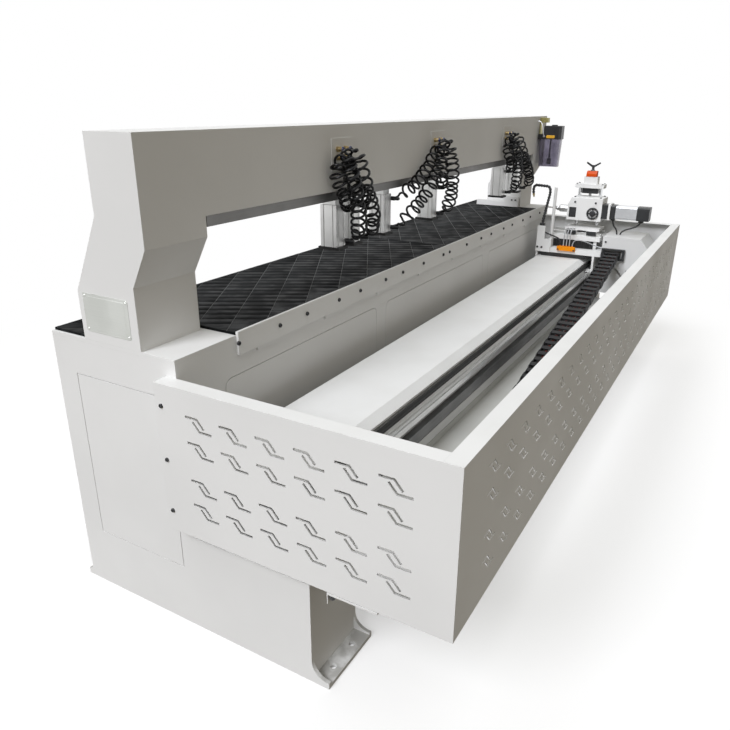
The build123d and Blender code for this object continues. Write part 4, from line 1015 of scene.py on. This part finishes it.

# %% [markdown]
# Between the cross bars the cables show: black and reddish ones that fill the chain side by side. Each
# is a smooth line that rises and sinks a little inside the chain.

# %% Cables in the chain
cable_count = 6
cable_points = 13
cable_margin = 0.0085
cable_rise = 0.014
cable_wave = 0.0025
lane_width = (chain_width - 2 * cable_margin) / cable_count
for number in range(cable_count):
    lane = cable_margin + (number + 0.5) * lane_width
    route = []
    for i in range(cable_points):
        rise = cable_rise + cable_wave * cos(1.3 * i + 2.1 * number)
        route.append(chain_start + run * (i / (cable_points - 1)) + across_y * lane + chain_up * rise)
    made = bmesh.new()
    add_tube(made, smooth_line(route, 4), lane_width / 2, 8)
    finish = cable_black if number % 2 else cable_red
    cable = make_piece(f"chain_cable_{number + 1}", made, "chain_black", finish=finish)
    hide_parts("cable_chain")
    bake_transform(cable)
print("cables in the chain:", cable_count, "of", round(lane_width * 1000, 1), "mm")

# %% [markdown]
# The blow pipe is a string of ball-jointed plastic segments that holds any bend it is given. A tube
# along the pipe's line whose radius swells and narrows in a steady rhythm gives that look in one mesh.
# A small clamp block holds its foot on the bracket.

# %% Blow pipe
blow_course = (
    (0.066, 0.800),
    (0.066, 0.832),
    (0.048, 0.939),
    (0.030, 1.046),
    (0.089, 1.049),
    (0.148, 1.052),
    (0.138, 1.000),
)
segment_length = 0.016
bead = [0.0066, 0.0082, 0.0090, 0.0090, 0.0078, 0.0068]
line = smooth_line([Vector((blow_x, y, z)) for y, z in blow_course])
segments = int(line_length(line) / segment_length)
beads = [point for reach, point, along in walk_line(line, segments * len(bead))]
made = bmesh.new()
add_tube(made, beads, [bead[i % len(bead)] for i in range(len(beads))], 14)
block_place = (1.3105, 0.066, 0.800)
add_plate(made, rounded(0.024, 0.028, 0.003), block_place, *top_face, 0.026)
pipe = make_piece("blow_pipe_segments", made, "trim_black", "carriage", sharp_angle=50)
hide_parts("blow_pipe")
print("blow pipe:", segments, "segments")

# %% [markdown]
# The lubricator hangs on the far column. Its cup is hollow, so the light must meet two walls, and a
# suction tube with a filter stands in it. Drawing the cup as outer and inner rings that meet at the rim
# gives a true wall. An amber window and a thin metal air pipe finish the head.

# %% Lubricator
cup_low, cup_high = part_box("pump_reservoir")
cup_middle = (cup_low + cup_high) / 2
cup_size = cup_high - cup_low
cup_draft = 0.006
cup_wall = 0.003


def cup_ring(made, z, shrink):
    """Ring of points round the cup at a height, drawn in by a distance."""
    outline = rounded(cup_size.x - 2 * shrink, cup_size.y - 2 * shrink, 0.010)
    return [made.verts.new((cup_middle.x + a, cup_middle.y + b, z)) for a, b in outline]


made = bmesh.new()
levels = [
    (cup_low.z, cup_draft),
    (cup_high.z - 0.004, 0.0),
    (cup_high.z - 0.0005, 0.0),
    (cup_high.z - 0.0005, cup_wall),
    (cup_low.z + 0.004, cup_draft + cup_wall),
]
skin_rings(made, [cup_ring(made, z, shrink) for z, shrink in levels])
cup = make_piece("reservoir_cup", made, "reservoir_smoke", "base")
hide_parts("pump_reservoir")

stem = [(0.005, 0.0), (0.005, 0.112), (0.013, 0.116), (0.013, 0.146), (0.010, 0.150)]
stem_top = (cup_middle.x, cup_middle.y, cup_high.z - 0.001)
turned_set("suction_filter", stem, [stem_top], to_floor, "pump_black", "base")

pump_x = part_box("pump_head")[0].x
window = rounded(0.054, 0.018, 0.006)
window_place = (pump_x, 0.137, 1.320)
plate_set("sight_window", window, [window_place], near_face, 0.002, "pump_black", "base", amber, fine_edge)

pipe_x = pump_x - 0.012
pipe_course = ((pipe_x, 0.222, 1.412), (pipe_x, 0.200, 1.412), (pipe_x, 0.186, 1.372), (pipe_x, 0.180, 1.330))
pipe_end = Vector((pump_x + 0.002, 0.178, 1.322))
nut = [(0.007, -0.002), (0.007, 0.006), (0.005, 0.009)]
made = bmesh.new()
add_tube(made, smooth_line([*pipe_course, pipe_end]), 0.003, 10)
add_turned(made, pipe_end, to_near, nut, 6)
make_piece("lubricator_pipe", made, "cable_grey", "base", finishes["servo_alu"])
print("lubricator: cup wall", cup_wall * 1000, "mm")

# %% [markdown]
# The gear rack that drives the carriage is a steel bar with teeth along its lower edge. The tooth is a
# simple trapezium repeated at the pitch of the gear, so that it reads as a rack from close by and as a
# fine dark line from afar.

# %% Gear rack
rack_low, rack_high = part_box("x_rack")
tooth_pitch = 0.00942
tooth_height = 0.0066
tooth = [(0.0012, 0), (0.0036, -tooth_height), (0.0060, -tooth_height), (0.0084, 0)]
tooth_count = int((rack_high.x - rack_low.x) / tooth_pitch)
root_z = rack_low.z + tooth_height
depth = rack_high.y - rack_low.y
rack_length = tooth_count * tooth_pitch
made = bmesh.new()
bar = [(0, 0), (rack_length, 0), (rack_length, rack_high.z - root_z), (0, rack_high.z - root_z)]
add_plate(made, bar, (rack_low.x, rack_high.y, root_z), *front_face, depth)
for i in range(tooth_count):
    add_plate(made, tooth, (rack_low.x + i * tooth_pitch, rack_high.y, root_z), *front_face, depth)
rack = make_piece("rack_teeth", made, "rack_steel", "base")
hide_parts("x_rack")
print("rack:", tooth_count, "teeth")

# %% [markdown]
# Black socket head screws hold the fence, the guard, the side stop and the boxes of the carriage. One
# screw is a turned head with a sunk socket. Each group of screws is one mesh on one face, listed by where
# the screws sit, so a whole row costs one object.

# %% Socket head screws
def screw_row(name, places, direction, radius, body, slot="trim_black"):
    """Socket head screws on a face, as one piece."""
    height = radius * 0.8
    head = [
        (radius, -0.0006),
        (radius, height * 0.8),
        (radius * 0.86, height),
        (radius * 0.56, height),
        (radius * 0.50, height * 0.4),
    ]
    return turned_set(name, head, places, direction, slot, body, sides=12)


fence_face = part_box("table_fences")[0].y
fence_joint_x = 0.033
fence_screw_z = 0.856
fence_reaches = [0.036, 0.247]
for i in range(7):
    fence_reaches.append(fence_reaches[-1] + (0.148 if i % 2 else 0.197))
fence_x = [fence_joint_x + sign * reach for reach in fence_reaches for sign in (-1, 1)]
screw_row("fence_screws", [(x, fence_face, fence_screw_z) for x in fence_x], to_front, 0.0068, "base")

guard_far_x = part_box("guard_far")[1].x
guard_screw_y = (0.174, 0.130)
guard_screw_z = (0.765, 0.605, 0.445)
near_screws = [(guard_low.x, guard_screw_y[0], z) for z in guard_screw_z]
far_screws = [(guard_far_x, guard_screw_y[1], z) for z in guard_screw_z]
screw_row("guard_screws_near", near_screws, to_near, 0.006, "base")
screw_row("guard_screws_far", far_screws, to_far, 0.006, "base")

near_rows = (
    ("bracket_screws", "blow_bracket", ((0.052, 0.682), (0.079, 0.682)), 0.0062, "carriage"),
    ("box_screws", "carriage_box", ((-0.322, 0.747), (-0.461, 0.585)), 0.0055, "carriage"),
    ("manifold_screws", "manifold", ((-0.147, 0.681), (-0.052, 0.681)), 0.0048, "carriage"),
    ("stop_screws", "side_stop", ((0.305, 0.929), (0.329, 0.929)), 0.0055, "base"),
)
for name, node, spots, radius, body in near_rows:
    face_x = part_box(node)[0].x
    screw_row(name, [(face_x, y, z) for y, z in spots], to_near, radius, body)
print("screws on the fence:", len(fence_x))

# %% [markdown]
# The drilling head is bolted together from blocks. Screws sit near its upper edge and on its top, the
# fan cover has a plain disc and four screws, and the top plate is held on its posts by four more. A
# flange joins the servo motor to the head, and a black bearing guides the lift screw.

# %% Head hardware
head_low, head_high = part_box("head_housing")
side_screw_z = 0.958
head_screws = [(head_low.x, y, side_screw_z) for y in (-0.101, -0.223)]
screw_row("head_side_screws", head_screws, to_near, 0.006, "head")
top_screws = [(x, y, head_high.z) for x in (1.400, 1.505) for y in (-0.245, -0.094)]
screw_row("head_top_screws", top_screws, to_top, 0.006, "head")

fan_middle = Vector((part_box("head_trim")[0].x, -0.211, 0.896))
fan_reach = 0.0217
fan_screws = [fan_middle + Vector((0, a, b)) * fan_reach for a, b in corner_signs]
screw_row("fan_screws", fan_screws, to_near, 0.0026, "head", "screw_steel")
fan_disc = [(0.018, -0.004), (0.018, 0.0010), (0.0165, 0.0018), (0.006, 0.0022)]
turned_set("fan_disc", fan_disc, [fan_middle], to_near, "trim_black", "head", sides=24)

lift_top_z = 1.058
post_tops = [(x, y, lift_top_z) for x in (1.448, 1.507) for y in (-0.236, -0.086)]
screw_row("lift_top_screws", post_tops, to_top, 0.0050, "feed")

servo_z = 0.911
flange = rounded(0.0912, 0.0952, 0.0062)
flange_place = (servo_x, -0.2994, servo_z)
plate_set("servo_flange", flange, [flange_place], front_face, 0.0132, "white_paint", "head", edge=fine_edge)
flange_screws = [(servo_x + a * 0.039, -0.3126, servo_z + b * 0.041) for a, b in corner_signs]
screw_row("servo_screws", flange_screws, to_front, 0.0042, "head", "screw_steel")

bearing = rounded(0.040, 0.096, 0.006)
bearing_place = (1.485, -0.161, 1.002)
plate_set("lift_bearing", bearing, [bearing_place], top_face, 0.034, "trim_black", "feed", edge=0.002)
print("head hardware:", len(fan_screws), "fan screws,", len(flange_screws), "flange screws")

# %% [markdown]
# Black parts fill the shade under the head: end seals on the runner blocks of the feed slide, and a
# pleated cover over the feed drive between the saddle and the feed base. Pleats are one zigzag outline
# that is pulled down to the height of the cover.

# %% Feed covers
slide_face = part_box("feed_slide")[0].x
seal = rounded(0.058, 0.024, 0.003)
seal_z = 0.777
seal_places = [(slide_face, y, seal_z) for y in (-0.220, -0.100)]
plate_set("runner_seals", seal, seal_places, near_face, 0.004, "trim_black", "feed", edge=fine_edge)

pleat_pitch = 0.006
pleat_count = 43
cover_start = (1.357, 0.010, 0.7335)
cover_height = 0.046
pleats = [(i * pleat_pitch, 0.003 + 0.005 * (i % 2)) for i in range(pleat_count)]
zigzag = [(0, 0), *pleats, ((pleat_count - 1) * pleat_pitch, 0)]
plate_set("feed_bellows", zigzag, [cover_start], (to_front, to_near), cover_height, "pad_black", "carriage")
print("feed covers:", pleat_count, "pleats")

# %% [markdown]
# A blank metal plate is riveted to the near column: a brushed plate with a raised field and four rivets.
# The low step round the field is enough to catch the light.

# %% Blank plate
plate_low = Vector((0, 0.311, 0.905))
plate_high = Vector((0, 0.489, 1.017))
plate_middle = (plate_low + plate_high) / 2
plate_width = plate_high.y - plate_low.y
plate_height = plate_high.z - plate_low.z
column_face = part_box("columns")[0].x
place = (column_face, plate_middle.y, plate_middle.z)
rivet = [(0.004, 0.0), (0.0036, 0.0022), (0.0022, 0.0032)]
rivet_inset = 0.008
made = bmesh.new()
add_plate(made, rounded(plate_width, plate_height, 0.006), place, *near_face, 0.0010)
add_plate(made, rounded(plate_width - 0.030, plate_height - 0.016, 0.004), place, *near_face, 0.0016)
for a, b in corner_signs:
    rivet_y = plate_middle.y + a * (plate_width / 2 - rivet_inset)
    rivet_z = plate_middle.z + b * (plate_height / 2 - rivet_inset)
    add_turned(made, (column_face, rivet_y, rivet_z), to_near, rivet, 12)
make_piece("blank_plate", made, "clamp_alu", "base", plate_metal, edge=0.0003)
print("blank plate:", round(plate_width * 1000), "by", round(plate_height * 1000), "mm")

# %% [markdown]
# Black rubber and plastic frame the white sheet. Wipers under the saddle sweep chips off the cover, black
# strips under the cover's lip paint the shade in the gaps between the cover and the rails, and caps close the
# ends of the clamp rail. A strip has a ridge along its middle, so that it isn't a plain bar.

# %% Wipers, painted shade strips and rail caps
saddle_low, saddle_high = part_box("saddle")
wiper_length = 0.270
wiper_y = 0.056
wiper_z = 0.655
lip = [(0, 0), (0.004, 0), (0.004, -0.018), (0.001, -0.023), (0, -0.018)]
mirrored = [(-a, b) for a, b in lip]
made = bmesh.new()
for x, outline in ((saddle_low.x, lip), (saddle_high.x, mirrored)):
    add_plate(made, outline, (x, wiper_y, wiper_z), *front_face, wiper_length)
make_piece("saddle_wipers", made, "pad_black", "carriage")

beam_low, beam_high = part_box("x_beam")
rail_low, rail_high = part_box("x_rails")
# Painted shade: a black strip on each face of the beam, under the cover's lip, stands for the shadow gap
# there.
strip = [(0, 0), (0.0022, 0), (0.0022, 0.011), (0.0036, 0.014), (0.0022, 0.017), (0.0022, 0.028), (0, 0.028)]
strip_length = rail_high.x - rail_low.x
strip_z = 0.5705
made = bmesh.new()
for y, facing in ((beam_low.y, -1), (beam_high.y, 1)):
    add_plate(made, strip, (rail_low.x, y, strip_z), (0, facing, 0), to_top, facing * strip_length)
make_piece("beam_shade_strips", made, "trim_black", "base", finishes["pad_black"])

rail_low, rail_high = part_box("clamp_rail")
rail_size = rail_high - rail_low
cap = rounded(rail_size.y - 0.002, rail_size.z - 0.002, 0.004)
made = bmesh.new()
for x, facing in ((rail_low.x, -1), (rail_high.x, 1)):
    middle = (x, (rail_low.y + rail_high.y) / 2, (rail_low.z + rail_high.z) / 2)
    add_plate(made, cap, middle, (0, facing, 0), to_top, 0.003)
make_piece("rail_caps", made, "trim_black", "base", edge=fine_edge)
print("wipers, seals and caps made")

# %% [markdown]
# A small bent bracket with a black bolt shows under the lower edge of the near guard. It is one outline,
# an L with a long foot, pulled to the width of the guard's bottom fold. A narrower spacer between the
# two leaves a thin line of shade along the front, and carries the bracket.

# %% Guard bracket
bracket_corner = Vector((-1.7065, -0.335, guard_low.z))
bent = [(0, -0.038), (0.003, -0.038), (0.003, -0.010), (0.144, -0.010), (0.144, -0.003), (0, -0.003)]
spacer = [(0.004, -0.0032), (0.140, -0.0032), (0.140, 0), (0.004, 0)]
made = bmesh.new()
for outline, width in ((bent, 0.026), (spacer, 0.014)):
    add_plate(made, outline, bracket_corner, *near_face, width)
make_piece("guard_bracket", made, "white_paint", "base", edge=fine_edge)
bolt = [(0.0078, -0.0006), (0.0078, 0.011), (0.0066, 0.0135), (0.0045, 0.0135), (0.0040, 0.009)]
bolt_place = bracket_corner + Vector((-0.018, -0.0125, -0.010))
turned_set("guard_bracket_bolt", bolt, [bolt_place], to_floor, "trim_black", "base")
print("guard bracket at height", round(guard_low.z, 3))
